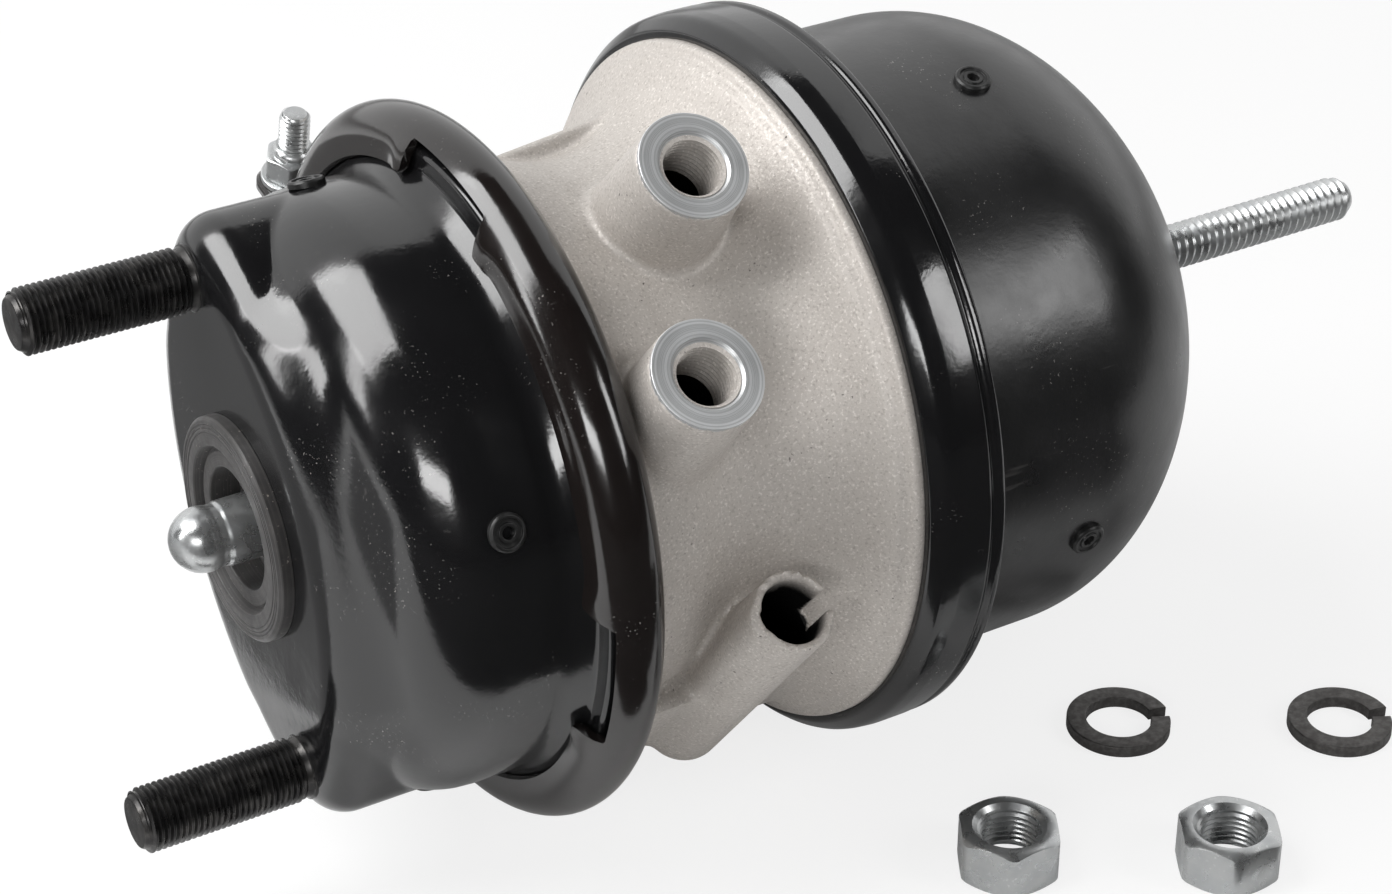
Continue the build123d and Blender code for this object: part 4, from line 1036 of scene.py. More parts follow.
class CHAMBER_OT_clamp_fasteners(bpy.types.Operator):
    """Bolt, washer and lock nut that draw the clamp band tight"""

    bl_idname = "chamber.clamp_fasteners"
    bl_label = "Clamp fasteners"

    def execute(self, context):
        zinc = zinc_plated_steel()
        line = clock_vector(BAND_CLOCK) * 97.0
        along = clock_vector(BAND_CLOCK - 90)

        def at(offset):
            return placed(Vector((BAND_MIDDLE, 0, 0)) + line + along * offset, along, line)

        seat, far_face = LUG_STARTS[1], LUG_STARTS[0] + 4.0
        shank = [(0, 0, 0), (0, 3.45, 0.2), (52, 3.45, 0.4), (53, 2.9, 0.3), (53, 0, 0)]
        collar = [(0, 0, 0), (0, 3.98, 0), (32, 3.98, 0.3), (32.4, 3.4, 0), (32.4, 0, 0)]
        parts = [
            (nut_mesh(13, 5.5, 0.4, at(seat - 5.5), mouth=0.1), zinc),
            (turned_mesh(rounded(shank, closed=False), at(seat), 64, False), zinc),
            (turned_mesh(rounded(collar, closed=False), at(seat), 64, False), zinc),
            (thread_mesh(3.42, 3.99, 1.25, 20.0, at(far_face + 0.6), zinc, 32), zinc),
        ]
        piece("clamp_bolt_zinc", parts, "root", ["clamp_bolt"])
        washer = rounded([(0, 4.05, 0.2), (0, 8.0, 0.3), (1.6, 8.0, 0.4), (1.6, 4.05, 0.2)])
        single("clamp_washer", "zinc", turned_mesh(washer, at(far_face), 96), zinc_plated_steel)
        nut = nut_mesh(13, 9.4, 4.05, at(far_face + 1.6), mouth=0.5, collar=2.6)
        single("clamp_nut", "zinc", nut, zinc_plated_steel)
        return {"FINISHED"}


class Section:
    """Signed distance to a closed outline in the half plane of (along, radius), read from a fine table."""

    def __init__(self, outline, low_corner, high_corner, step=0.4):
        self.low = np.array(low_corner, float)
        self.step = step
        count = ((np.array(high_corner) - self.low) / step).astype(int) + 2
        grid = np.stack(np.meshgrid(*(np.arange(n) for n in count), indexing="ij"), -1)
        points = (self.low + grid * step).reshape(-1, 1, 2)
        start = np.asarray(outline)[None]
        end = np.roll(outline, -1, axis=0)[None]
        edge = end - start
        share = ((points - start) * edge).sum(-1) / np.maximum((edge * edge).sum(-1), 1e-12)
        nearest = start + np.clip(share, 0, 1)[..., None] * edge
        gap = np.linalg.norm(points - nearest, axis=-1).min(1)
        above = (start[..., 1] > points[..., 1]) != (end[..., 1] > points[..., 1])
        rise = np.where(edge[..., 1] == 0, 1e-12, edge[..., 1])
        crossing = start[..., 0] + (points[..., 1] - start[..., 1]) * edge[..., 0] / rise
        inside = (above & (points[..., 0] < crossing)).sum(1) % 2 == 1
        self.table = np.where(inside, -gap, gap).reshape(count)

    def at(self, along, radius):
        """Distance at points, between the table's entries."""
        size = self.table.shape
        u = np.clip((along - self.low[0]) / self.step, 0, size[0] - 1.001)
        v = np.clip((radius - self.low[1]) / self.step, 0, size[1] - 1.001)
        i = u.astype(int)
        j = v.astype(int)
        u = u - i
        v = v - j
        table = self.table
        near = table[i, j] * (1 - u) + table[i + 1, j] * u
        far = table[i, j + 1] * (1 - u) + table[i + 1, j + 1] * u
        return near * (1 - v) + far * v


def housing_sections(sizes):
    """Outer section of the cast housing and the sections of its two cavities."""
    neck = sizes.neck_radius / MM
    waist = sizes.waist_radius / MM
    place = sizes.waist_place / MM
    curve = sizes.flare_round / MM
    wall = 6.0

    def arc(first, last, radius, count):
        angles = np.radians(np.linspace(first, last, count))
        return np.stack([place + radius * np.sin(angles), waist + curve - radius * np.cos(angles)], -1)

    rim = [(CAST_FRONT, 0, 0), (CAST_FRONT, FLANGE_RADIUS, 0.9), (NECK_START, FLANGE_RADIUS, 1.6)]
    root = [(NECK_START, 77.5, 1.0), (NECK_START + 3.3, neck - 1.4, 4.0), (NECK_START + 9, neck - 3.6, 0)]
    bead = [(128.5, 85.2, 0), (130.6, 86.4, 1.2), (131.4, 88.6, 2.2), (134.6, 88.6, 1.2), (135.2, 87.0, 0.8)]
    step = CAST_BACK - 5.2
    flange = [(step, 87.0, 0.5), (step, REAR_FLANGE_RADIUS, 0.6), (CAST_BACK, REAR_FLANGE_RADIUS, 0.6)]
    outer = [rounded(rim + root, closed=False), arc(-21, 58, curve, 26)]
    outer.append(rounded([*bead, *flange, (CAST_BACK, 0, 0)], closed=False))
    front = [(CAST_FRONT - 2, 0, 0), (CAST_FRONT - 2, 72, 0), (CAST_FRONT, 72, 0)]
    front += [(CAST_FRONT + 2, 68.6, 1.5), (80, 61.8, 7), (80, 28.6, 1), (86.5, 28.6, 1)]
    front += [(86.5, 15.6, 0.4), (101, 15.6, 0), (101, 0, 0)]
    hub = [(98.5, 0, 0), (98.5, 18.5, 0.2), (109.5, 18.5, 0.3), (109.5, 27, 1.0), (92, 28.5, 4)]
    floor = [(92, waist - wall - 6, 5), (98, waist - wall, 3)]
    mouth = [(CAST_BACK, 79.2), (CAST_BACK + 2, 79.2), (CAST_BACK + 2, 0)]
    rear = [rounded(hub + floor, closed=False), arc(4, 43, curve + wall, 14), mouth]
    corners = ((CAST_FRONT - 4, 0), (CAST_BACK + 4, 136))
    outlines = (np.concatenate(outer), rounded(front), np.concatenate(rear))
    return [Section(outline, *corners) for outline in outlines]


def web_distance(x, height, side):
    """Signed distance to the webs before and behind the storage pocket."""
    half_thick, foot, back = 3.5, -34, 131.5
    top = np.where(x < POCKET_X, 2.0, -5.0)
    web = round_meet(np.abs(side - POCKET_SIDE) - half_thick, np.maximum(height - top, foot - height), 0.7)
    return round_meet(web, np.maximum(NECK_START - x, x - back), 0.6)


def rib_distance(x, y, z):
    """Signed distance to the rib along the neck, whose top rises towards the rear flange."""
    half_thick, foot, front, back = 4.0, 40, 78.0, 124
    turn = clock_vector(RIB_CLOCK)
    beside = np.abs(y * turn.z - z * turn.y) - half_thick
    height = y * turn.y + z * turn.z
    top = (height - (68.6 + (x - front) * 4.9 / 46.0)) * 0.994
    rib = round_meet(round_meet(beside, top, 1.4), np.maximum(front - x, x - back), 1.0)
    return np.maximum(rib, foot - height)


def pocket_distance(x, height, side, off_pocket, sizes):
    """Signed distance to the storage pocket's drafted tube and the lobe beside it."""
    depth = POCKET_MOUTH - height
    tube_radius = sizes.pocket_radius / MM + depth * 0.8 / 86
    lobe = np.hypot(np.maximum(np.abs(x - POCKET_X + 5.2) - 2.6, 0), side - POCKET_SIDE) - 4.2
    tube = fillet_join(off_pocket - tube_radius, lobe + depth * 0.02, 2.0)
    return round_meet(round_meet(tube, -depth, 0.7), -39.0 - height, 5.0)


def pocket_hole(x, height, side, off_pocket):
    """Signed distance to the storage pocket's bore, with the slots for the bolt's head."""
    slots = np.maximum(np.abs(x - POCKET_X - 0.2) - 9.0, np.abs(side - POCKET_SIDE) - 2.4)
    slots = np.maximum(slots, POCKET_MOUTH - 14 - height)
    bore = off_pocket - 7.9 - np.clip((height - POCKET_MOUTH + 1.6) * 0.4, 0, 0.7)
    return np.maximum(np.minimum(bore, slots), -34 - height)


def housing_distance(points, sizes, sections):
    """Signed distance to the whole casting: body, ports, storage pocket, webs and rib, less its cavities."""
    x, y, z = points[..., 0], points[..., 1], points[..., 2]
    radius = np.hypot(y, z)
    out = clock_vector(DRAW_CLOCK)
    aside = clock_vector(DRAW_CLOCK - 90)
    height = y * out.y + z * out.z
    side = y * aside.y + z * aside.z
    off_pocket = np.hypot(x - POCKET_X, side - POCKET_SIDE)
    outer, front, rear = sections
    body = fillet_join(outer.at(x, radius), web_distance(x, height, side), sizes.web_fillet / MM)
    body = fillet_join(body, rib_distance(x, y, z), sizes.web_fillet / MM)
    body = fillet_join(body, pocket_distance(x, height, side, off_pocket, sizes), 3.0)
    face = sizes.port_face / MM
    off_ports = [np.hypot(x - port_x, side - port_side) for port_x, port_side, _ in PORTS]
    for off_port, (_, _, draft) in zip(off_ports, PORTS):
        cone = sizes.port_radius / MM + (face - height) * draft / 39
        boss = round_meet((off_port - cone) * 0.997, height - face + 0.7, 0.4)
        body = fillet_join(body, np.maximum(boss, 48 - height), sizes.port_fillet / MM)
    cavity = np.minimum(front.at(x, radius), rear.at(x, radius))
    body = round_meet(body, -cavity, 0.5)
    relief = np.maximum(np.abs(radius - 82.4) - 4.2, np.abs(x - NECK_START) - 3.1)
    body = np.maximum(body, -np.maximum(relief, NECK_START - x))
    for off_port in off_ports:
        body = np.maximum(body, -np.maximum(off_port - 8.9, 50 - height))
    return round_meet(body, -pocket_hole(x, height, side, off_pocket), 0.6)


def surface_net(values, origin, step):
    """Points and four-sided faces of the zero surface of a block of signed distances."""
    shape = np.array(values.shape)
    cells = tuple(shape - 1)
    total = np.zeros(cells + (3,), np.float32)
    count = np.zeros(cells, np.float32)
    negative = values < 0
    crossings = []
    for axis in range(3):
        first = [slice(None)] * 3
        second = [slice(None)] * 3
        first[axis] = slice(None, -1)
        second[axis] = slice(1, None)
        changed = negative[tuple(first)] != negative[tuple(second)]
        where = np.argwhere(changed)
        start = values[tuple(first)][changed]
        end = values[tuple(second)][changed]
        spot = where.astype(np.float32)
        spot[:, axis] += start / (start - end)
        others = [other for other in range(3) if other != axis]
        for back_one in (0, 1):
            for back_two in (0, 1):
                cell = where.copy()
                cell[:, others[0]] -= back_one
                cell[:, others[1]] -= back_two
                good = ((cell >= 0) & (cell < cells)).all(1)
                index = tuple(cell[good].T)
                np.add.at(total, index, spot[good])
                np.add.at(count, index, 1)
        crossings.append((where, negative[tuple(first)][changed], others))
    used = count > 0
    number = np.full(cells, -1, np.int64)
    number[used] = np.arange(used.sum())
    points = origin + total[used] / count[used][:, None] * step
    faces = []
    for axis, (where, inward, others) in enumerate(crossings):
        good = (where[:, others[0]] > 0) & (where[:, others[1]] > 0)
        good &= (where[:, others[0]] < cells[others[0]]) & (where[:, others[1]] < cells[others[1]])
        where = where[good]
        corners = []
        for back in ((1, 1), (0, 1), (0, 0), (1, 0)):
            cell = where.copy()
            cell[:, others[0]] -= back[0]
            cell[:, others[1]] -= back[1]
            corners.append(number[tuple(cell.T)])
        quads = np.stack(corners, -1)
        reverse = inward[good] if axis == 1 else ~inward[good]
        quads[reverse] = quads[reverse][:, ::-1]
        faces.append(quads)
    return points, np.concatenate(faces)


def housing_mesh(sizes):
    """Surface of the casting, drawn from cells and pulled onto the exact distance, with a share of painted
    shade in the pocket's bore.
    """
    sections = housing_sections(sizes)
    step = sizes.voxel / MM
    corner = np.array(low("centre_housing")) - 2 * step
    count = ((np.array(high("centre_housing")) - corner) / step).astype(int) + 3
    axes = [corner[axis] + np.arange(count[axis]) * step for axis in range(3)]
    values = np.empty(count, np.float32)
    for index, x in enumerate(axes[0]):
        y, z = np.meshgrid(axes[1], axes[2], indexing="ij")
        values[index] = housing_distance(np.stack([np.full_like(y, x), y, z], -1), sizes, sections)
    points, faces = surface_net(values, corner, step)
    probe = 0.15
    for _ in range(3):
        here = housing_distance(points, sizes, sections)
        slope = np.stack(
            [
                housing_distance(points + probe * axis, sizes, sections)
                - housing_distance(points - probe * axis, sizes, sections)
                for axis in np.eye(3)
            ],
            -1,
        ) / (2 * probe)
        scale = np.maximum((slope * slope).sum(-1, keepdims=True), 0.3)
        move = slope * here[:, None] / scale
        reach = np.linalg.norm(move, axis=1, keepdims=True)
        points = points - move * np.minimum(1, 0.4 * step / np.maximum(reach, 1e-9))
    mesh = thinned(plain_mesh(points, faces), CASTING_TRIANGLES)
    places = np.empty(3 * len(mesh.vertices), np.float32)
    mesh.vertices.foreach_get("co", places)
    places = places.reshape(-1, 3) / MM
    height = places @ np.array(clock_vector(DRAW_CLOCK))
    side = places @ np.array(clock_vector(DRAW_CLOCK - 90))
    off_pocket = np.hypot(places[:, 0] - POCKET_X, side - POCKET_SIDE)
    # Painted shade: inside the storage pocket's bore a share grows towards the bottom, and the casting's
    # finish tints it near black.
    in_bore = np.maximum(off_pocket - 8.6, height - POCKET_MOUTH + 0.5) < 0
    painted_bore_shade = np.where(in_bore, np.clip((POCKET_MOUTH - 1 - height) / 5, 0, 1), 0)
    attribute = mesh.attributes.new("painted_bore_shade", "FLOAT", "POINT")
    attribute.data.foreach_set("value", painted_bore_shade.astype(np.float32))
    return mesh


def thinned(mesh, triangles):
    """Mesh brought down to a number of triangles, mostly where it is flattest."""
    count = sum(len(face.vertices) - 2 for face in mesh.polygons)
    host = bpy.data.objects.new("thinned", mesh)
    bpy.context.scene.collection.objects.link(host)
    modifier = host.modifiers.new("Thin", "DECIMATE")
    modifier.ratio = min(1.0, triangles / count)
    graph = bpy.context.evaluated_depsgraph_get()
    result = bpy.data.meshes.new_from_object(host.evaluated_get(graph), depsgraph=graph)
    bpy.data.objects.remove(host)
    bpy.data.meshes.remove(mesh)
    return result


def port_parts(x, side, face):
    """Machined face, threaded bore and a near-black cup of painted shade behind the thread, let into one
    port.
    """
    place = draw_place(x, side)
    machined = machined_aluminium()
    tapped = cast_aluminium()
    edge = [(face, 13.45, 0.25), (face, 8.9, 0.15), (face - 1.0, 7.95, 0.1)]
    outline = rounded(edge + [(face - 1.6, 7.95, 0.1), (face - 1.6, 13.45, 0.2)])
    # Painted shade: a cup in the studs' black oxide lines the bore behind the thread and closes its bottom,
    # standing for the unlit depth of the port.
    painted_shade_cup = [(face - 1.5, 8.0, 0), (face - 1.5, 9.2, 0), (60, 9.2, 0), (60, 0, 0), (61, 0, 0), (61, 8.0, 0)]
    start = place @ Matrix.Translation((0, 0, (face - 17.6) * MM))
    return [
        (turned_mesh(outline, place, 96), machined),
        (thread_mesh(8.05, 7.0, 1.5, 17.2, start, tapped, 40, 0.5, foot=0.7), tapped),
        (turned_mesh(rounded(painted_shade_cup), place, 64), black_oxide_steel()),
    ]


class CHAMBER_OT_centre_housing(bpy.types.Operator):
    """Die-cast centre housing with its ports, storage pocket, webs and rib"""

    bl_idname = "chamber.centre_housing"
    bl_label = "Centre housing"

    def execute(self, context):
        sizes = context.scene.chamber_housing
        parts = [(housing_mesh(sizes), cast_aluminium())]
        for x, side, _ in PORTS:
            parts += port_parts(x, side, round(sizes.port_face / MM, 3))
        piece("centre_housing_casting", parts, "root", ["centre_housing"], sharp=48)
        return {"FINISHED"}


class CHAMBER_OT_studs(bpy.types.Operator):
    """Two threaded studs of the mounting face"""

    bl_idname = "chamber.studs"
    bl_label = "Mounting studs"

    def execute(self, context):
        finish = black_oxide_steel()
        length = -STUD_TIP
        head = [(-6.2, 0, 0), (-6.2, 10.5, 0.6), (-3.3, 11.5, 0.4), (-3.3, 8.2, 0.2), (0.0, 8.2, 0.1)]
        shank = [(0.2, 7.75, 0.2), (1.6, 7.2, 0.3), (length - 1.6, 7.15, 0.2)]
        core = rounded([*head, *shank, (length, 6.2, 0.5), (length, 0, 0)], closed=False)
        for name, side in (("upper_stud", 1), ("lower_stud", -1)):
            base = clock_vector(STUD_CLOCK) * STUD_HALF_SPACING * side
            place = placed(base, (-1, 0, 0), clock_vector(STUD_CLOCK))
            start = place @ Matrix.Translation((0, 0, 1.2 * MM))
            thread = thread_mesh(7.1, 8.0, 1.5, length - 2.0, start, finish, 44)
            parts = [(turned_mesh(core, place, 96, False), finish), (thread, finish)]
            piece(f"{name}_threaded", parts, "root", [name])
        return {"FINISHED"}


def squashed(shown):
    """Give a wound or folded piece a mesh of its own."""
    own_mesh(shown)


def seal_outline():
    """Section of the front seal, with its three fine grooves and its lips."""
    front = SEAL_FRONT
    face = [(front, 26.9, 0.5)]
    for groove in (26.0, 25.1, 24.0):
        face += [(front, groove + 0.28, 0.1), (front + 0.35, groove, 0.1), (front, groove - 0.28, 0.1)]
    lips = [
        (front, 20.9, 0.5),
        (front + 1.9, 20.3, 0.3),
        (front + 2.6, 20.1, 0.2),
        (front + 2.6, 19.3, 0.2),
        (front + 1.8, 19.1, 0.3),
        (front + 1.7, 15.2, 0.5),
    ]
    back = [(SEAL_BACK, 15.0, 0.5), (SEAL_BACK, 25.5, 0.5), (3.3, 25.5, 0.4)]
    neck = [(3.2, 21.9, 0.3), (-0.1, 21.9, 0.3)]
    side = [(-0.1, SEAL_RADIUS, 0.3), (front + 0.9, SEAL_RADIUS, 0.6)]
    return rounded([*side, *face, *lips, *back, *neck])


def boot_outline():
    """Section of the bellows boot, from its flange to its cuff."""
    start, end = low("dust_boot").x, high("dust_boot").x
    folds = 5
    inner, outer, wall, cuff = 13.5, 20.0, 1.6, 6.0
    pitch = (end - cuff - start - 2.0) / (2 * folds)
    crests = [
        (start + 2.0 + index * pitch, inner + wall + (outer - inner - wall) * (index % 2), 1.6)
        for index in range(1, 2 * folds)
    ]
    lining = [(along, radius - wall, 1.0) for along, radius, _ in crests[::-1]]
    flange = [(start, 24.0, 0.3), (start + 1.8, 24.0, 0.3), (start + 2.0, inner + wall, 0.5)]
    grip = [(end - cuff, 10.5, 1.0), (end, 10.5, 0.4), (end, 8.3, 0.3), (end - cuff - wall, 8.3, 0.5)]
    return rounded([*flange, *crests, *grip, *lining, (start, inner, 0.3)])


class CHAMBER_OT_front_seal(bpy.types.Operator):
    """Moulded seal round the push rod and the bellows boot behind it"""

    bl_idname = "chamber.front_seal"
    bl_label = "Front seal and boot"

    def execute(self, context):
        single("front_seal", "moulding", turned_mesh(seal_outline(), segments=192), seal_rubber, sharp=40)
        boot = turned_mesh(boot_outline(), segments=96)
        shown = single("dust_boot", "bellows", boot, seal_rubber, sharp=60)
        squashed(shown)
        return {"FINISHED"}


class CHAMBER_OT_push_rod(bpy.types.Operator):
    """Push rod with its ball end"""

    bl_idname = "chamber.push_rod"
    bl_label = "Push rod"

    def execute(self, context):
        radius, neck = 8.0, 7.6
        back = high("push_rod").x
        plate = back - 3.0
        centre = low("push_rod").x + radius
        ball = [
            (centre - radius * math.cos(angle), radius * math.sin(angle))
            for angle in np.linspace(0, math.pi / 2 + math.acos(neck / radius), 30)
        ]
        waist = [(centre + 2.6, neck, 0), (centre + 4.0, neck, 1.5), (centre + 5.0, radius, 1.5)]
        collar = [(plate - 4, radius, 0.3), (plate - 4, 12, 0.5), (plate, 12, 0.3)]
        shaft = rounded(waist + collar + [(plate, 6, 0.2), (back, 6, 0.5), (back, 0, 0)], closed=False)
        mesh = turned_mesh(np.concatenate([ball, shaft]), segments=96, closed=False)
        single("push_rod", "zinc", mesh, zinc_plated_steel, "service_rod", sharp=50)
        return {"FINISHED"}


def along_axis(x):
    """Place on the chamber axis at a distance behind the mounting face."""
    return AXIS_PLACE @ Matrix.Translation((0, 0, x * MM))


class CHAMBER_OT_release_bolt(bpy.types.Operator):
    """Release bolt with its T-head, washer and nut"""

    bl_idname = "chamber.release_bolt"
    bl_label = "Release bolt"

    def execute(self, context):
        zinc = zinc_plated_steel()
        head_height = 8.0
        seat = low("release_bolt").x + head_height
        tip = [(BOLT_TIP - 1.4, 5.15, 0.4), (BOLT_TIP, 4.3, 0.5), (BOLT_TIP, 0, 0)]
        core = rounded([(seat, 0, 0), (seat, 5.2, 0.2), *tip], closed=False)
        thread = thread_mesh(5.1, 6.25, 2.6, BOLT_TIP - seat - 1.4, along_axis(seat + 0.5), zinc, 36, 0.9)
        head = rounded([(-4.7, -11, 1), (4.7, -11, 1), (4.7, 11, 1), (-4.7, 11, 1)])
        parts = [
            (turned_mesh(core, segments=96, closed=False), zinc),
            (thread, zinc),
            (slab_mesh(head[:, ::-1], head_height, 0.8, along_axis(seat - head_height)), zinc),
        ]
        piece("release_bolt_zinc", parts, "spring_piston", ["release_bolt"])
        start, end = low("release_washer").x, high("release_washer").x
        washer = rounded([(start, 6.6, 0.2), (start, 14, 0.3), (end, 14, 0.5), (end, 6.6, 0.3)])
        single("release_washer", "zinc", turned_mesh(washer, segments=96), zinc_plated_steel)
        height = high("release_nut").x - low("release_nut").x
        nut = nut_mesh(19, height, 6.3, along_axis(low("release_nut").x), mouth=0.7)
        single("release_nut", "zinc", nut, zinc_plated_steel, "release_nut")
        return {"FINISHED"}


def plug_group(name, x, clock, seat, node):
    """Vented plugs turned about the chamber axis from one."""
    finish = black_plastic()
    out = clock_vector(clock)
    place = placed(Vector((x, 0, 0)) + out * seat, out, (1, 0, 0))
    rim = [(-0.25, 4.6, 0.1), (1.0, 4.6, 0.4), (1.55, 4.1, 0.3), (1.55, 3.5, 0.2)]
    vent = [(0.95, 3.3, 0.2), (0.95, 2.5, 0.15), (1.35, 2.35, 0.2), (1.35, 1.5, 0.25)]
    stem = [(-4.4, 1.4, 0.1), (-4.4, 2.9, 0.3), (-0.25, 2.9, 0.1)]
    one = turned_mesh(rounded(rim + vent + stem), place, 48)
    group = grown_mesh(turned_copies(), {"Copies": 4, "Material": finish}, one)
    piece(name, [(group, finish)], "root", [node])


class CHAMBER_OT_drain_plugs(bpy.types.Operator):
    """Vented drain plugs round both pots"""

    bl_idname = "chamber.drain_plugs"
    bl_label = "Drain plugs"

    def execute(self, context):
        pots = context.scene.chamber_pots
        drum, rear = pots.drum_radius / MM, pots.rear_radius / MM
        plug_group("front_vent_plugs", 33.0, FRONT_PLUG_CLOCK, drum, "front_drain_plugs")
        plug_group("rear_vent_plugs", 190.0, REAR_PLUG_CLOCK, rear, "rear_drain_plugs")
        return {"FINISHED"}


def loose_nut(node):
    """Nut lying flat on the floor."""
    zinc = zinc_plated_steel()
    centre = (low(node) + high(node)) / 2
    place = placed((centre.x, centre.y, FLOOR), (0, 0, 1), (0, 1, 0))
    height = high(node).z - FLOOR
    start = place @ Matrix.Translation((0, 0, 1.0 * MM))
    parts = [
        (nut_mesh(24, height, 8.05, place, mouth=1.2), zinc),
        (thread_mesh(8.06, 7.25, 1.5, height - 2.0, start, zinc, 40, 0.6), zinc),
    ]
    piece(f"{node}_zinc", parts, "root", [node])


def loose_washer(node):
    """Split spring washer lying on the floor, its ends a little apart in height."""
    centre = (low(node) + high(node)) / 2
    outer = (high(node).x - low(node).x) / 2
    inner = 8.6
    section = rounded([(-1.6, inner, 0.3), (-1.6, outer, 0.4), (1.6, outer, 0.4), (1.6, inner, 0.3)])
    gap, middle = math.radians(7.5), math.radians(-20)
    angles = np.linspace(middle + gap, middle + FULL_TURN - gap, 90)
    rise = np.linspace(0.28, -0.28, 90)[:, None]
    x = centre.x + np.outer(np.cos(angles), section[:, 1])
    y = centre.y + np.outer(np.sin(angles), section[:, 1])
    z = FLOOR + 1.88 + section[:, 0][None] + rise
    mesh = grid_mesh(np.stack([x, y, z], -1), False, True, caps=True)
    single(node, "split", mesh, phosphated_steel)


class CHAMBER_OT_loose_fittings(bpy.types.Operator):
    """Nuts and spring washers of the studs, lying beside the chamber"""

    bl_idname = "chamber.loose_fittings"
    bl_label = "Loose fittings"

    def execute(self, context):
        for number in (1, 2):
            loose_nut(f"mounting_nut_{number}")
        for number in (1, 2):
            loose_washer(f"lock_washer_{number}")
        return {"FINISHED"}


def diaphragm(node, outline):
    """Moulded sheet held at its bead, riding on no body."""
    mesh = turned_mesh(rounded(outline), segments=144)
    shown = single(node, "sheet", mesh, diaphragm_rubber, None, sharp=50)
    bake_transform(shown)


class CHAMBER_OT_inner_parts(bpy.types.Operator):
    """Finishes of the pieces inside, and the moulded diaphragms"""

    bl_idname = "chamber.inner_parts"
    bl_label = "Inner parts"

    def execute(self, context):
        dressed = {
            plain_steel: ("push_plate", "pressure_plate", "push_tube", "tube_head"),
            phosphated_steel: ("circlip",),
            bearing_plastic: ("guide_bush",),
            seal_rubber: ("front_rod_seal", "rear_rod_seal"),
        }
        for finish, nodes in dressed.items():
            for node in nodes:
                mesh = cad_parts[node].data
                mesh.materials.clear()
                mesh.materials.append(finish())
        bead, front = POT_BACK, CAST_FRONT
        rear_side = [(bead, 82.6, 0.8), (front, 82.6, 0.8), (front, 71.7, 0.4), (front + 2, 68.3, 1.0)]
        rear_side += [(73, 65.5, 3.0), (79.7, 58.0, 4.0), (79.7, 0, 0)]
        front_side = [(76.7, 0, 0), (76.7, 55.6, 5.0), (71.5, 61.6, 3.0)]
        front_side += [(front + 2, 65.0, 1.5), (bead, 69.0, 1.0)]
        diaphragm("service_diaphragm", rear_side + front_side)
        start, back = low("spring_diaphragm").x, high("spring_diaphragm").x
        held = REAR_FLANGE_FRONT
        rim = [(start, 76.2, 1.0), (start, 90.3, 0.8), (held, 90.3, 0.8), (held, 78.4, 0.5)]
        rear_side = [(157.5, 77.2, 2.0), (175.6, 66.2, 3.0), (back, 60.2, 2.0), (back, 0, 0)]
        front_side = [(back - 3, 0, 0), (back - 3, 57.8, 3.0), (172.6, 63.2, 3.0), (157.5, 74.2, 3.0)]
        outline = rim + rear_side + front_side
        diaphragm("spring_diaphragm", outline)
        return {"FINISHED"}


def spring_piece(node, body, wire, turns, last_radius):
    """Wound spring in the place of a frame node."""
    start, end = low(node).x, high(node).x
    lengths = {"First Radius": high(node).y - wire / 2, "Last Radius": last_radius}
    lengths |= {"Wire Radius": wire / 2, "Length": end - start - wire}
    place = along_axis(start + wire / 2)
    mesh = wound_mesh(wound_spring(), lengths, {"Turns": turns}, place, spring_steel())
    return single(node, "wire", mesh, spring_steel, body, sharp=60)


class CHAMBER_OT_springs(bpy.types.Operator):
    """Return spring, adapter spring and power spring"""

    bl_idname = "chamber.springs"
    bl_label = "Springs"

    def execute(self, context):
        shown = spring_piece("return_spring", "root", 3.8, 4.5, 27.0)
        squashed(shown)
        shown = spring_piece("adapter_spring", "root", 3.4, 4.5, 33.0)
        squashed(shown)
        shown = spring_piece("power_spring", None, 11.5, 3.7, 38.0)
        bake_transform(shown)
        return {"FINISHED"}


def floor_material(tone):
    """Pale floor that keeps the object's shadow and reads nearly white to the camera."""
    finish = Finish("studio_floor", tone, 0.8, Specular_IOR_Level=0.1)
    tree = finish.tree
    path = tree_node(tree, "ShaderNodeLightPath").outputs
    glow = tree_node(tree, "ShaderNodeEmission", [("Color", (1, 1, 1, 1)), ("Strength", 1.05)])
    seen = tree_math(tree, "MULTIPLY", path["Is Camera Ray"], 0.76)
    parts = [(0, seen), (1, finish.shader.outputs[0]), (2, glow.outputs[0])]
    mix = tree_node(tree, "ShaderNodeMixShader", parts)
    tree.links.new(mix.outputs[0], tree.nodes["Material Output"].inputs["Surface"])
    return finish.material


def soft_box(name, place, target, width, height, power):
    """Large area lamp aimed at a target."""
    lamp = bpy.data.lights.new(name, "AREA")
    lamp.shape = "RECTANGLE"
    lamp.size = width
    lamp.size_y = height
    lamp.energy = power
    shown = bpy.data.objects.new(name, lamp)
    shown.location = place
    shown.rotation_euler = (Vector(target) - Vector(place)).to_track_quat("-Z", "Y").to_euler()
    bpy.context.scene.collection.objects.link(shown)


def dark_piece(name, corners, faces, tone=0.01):
    """Cloth met by reflections alone. It keeps the paint dark in its reflections and casts no shadow."""
    mesh = bpy.data.meshes.new(name)
    mesh.from_pydata(corners, [], faces)
    mesh.materials.append(Finish("cloth", (tone, tone, tone), 0.95).material)
    shown = bpy.data.objects.new(name, mesh)
    shown.visible_camera = False
    shown.visible_shadow = False
    shown.visible_diffuse = False
    bpy.context.scene.collection.objects.link(shown)


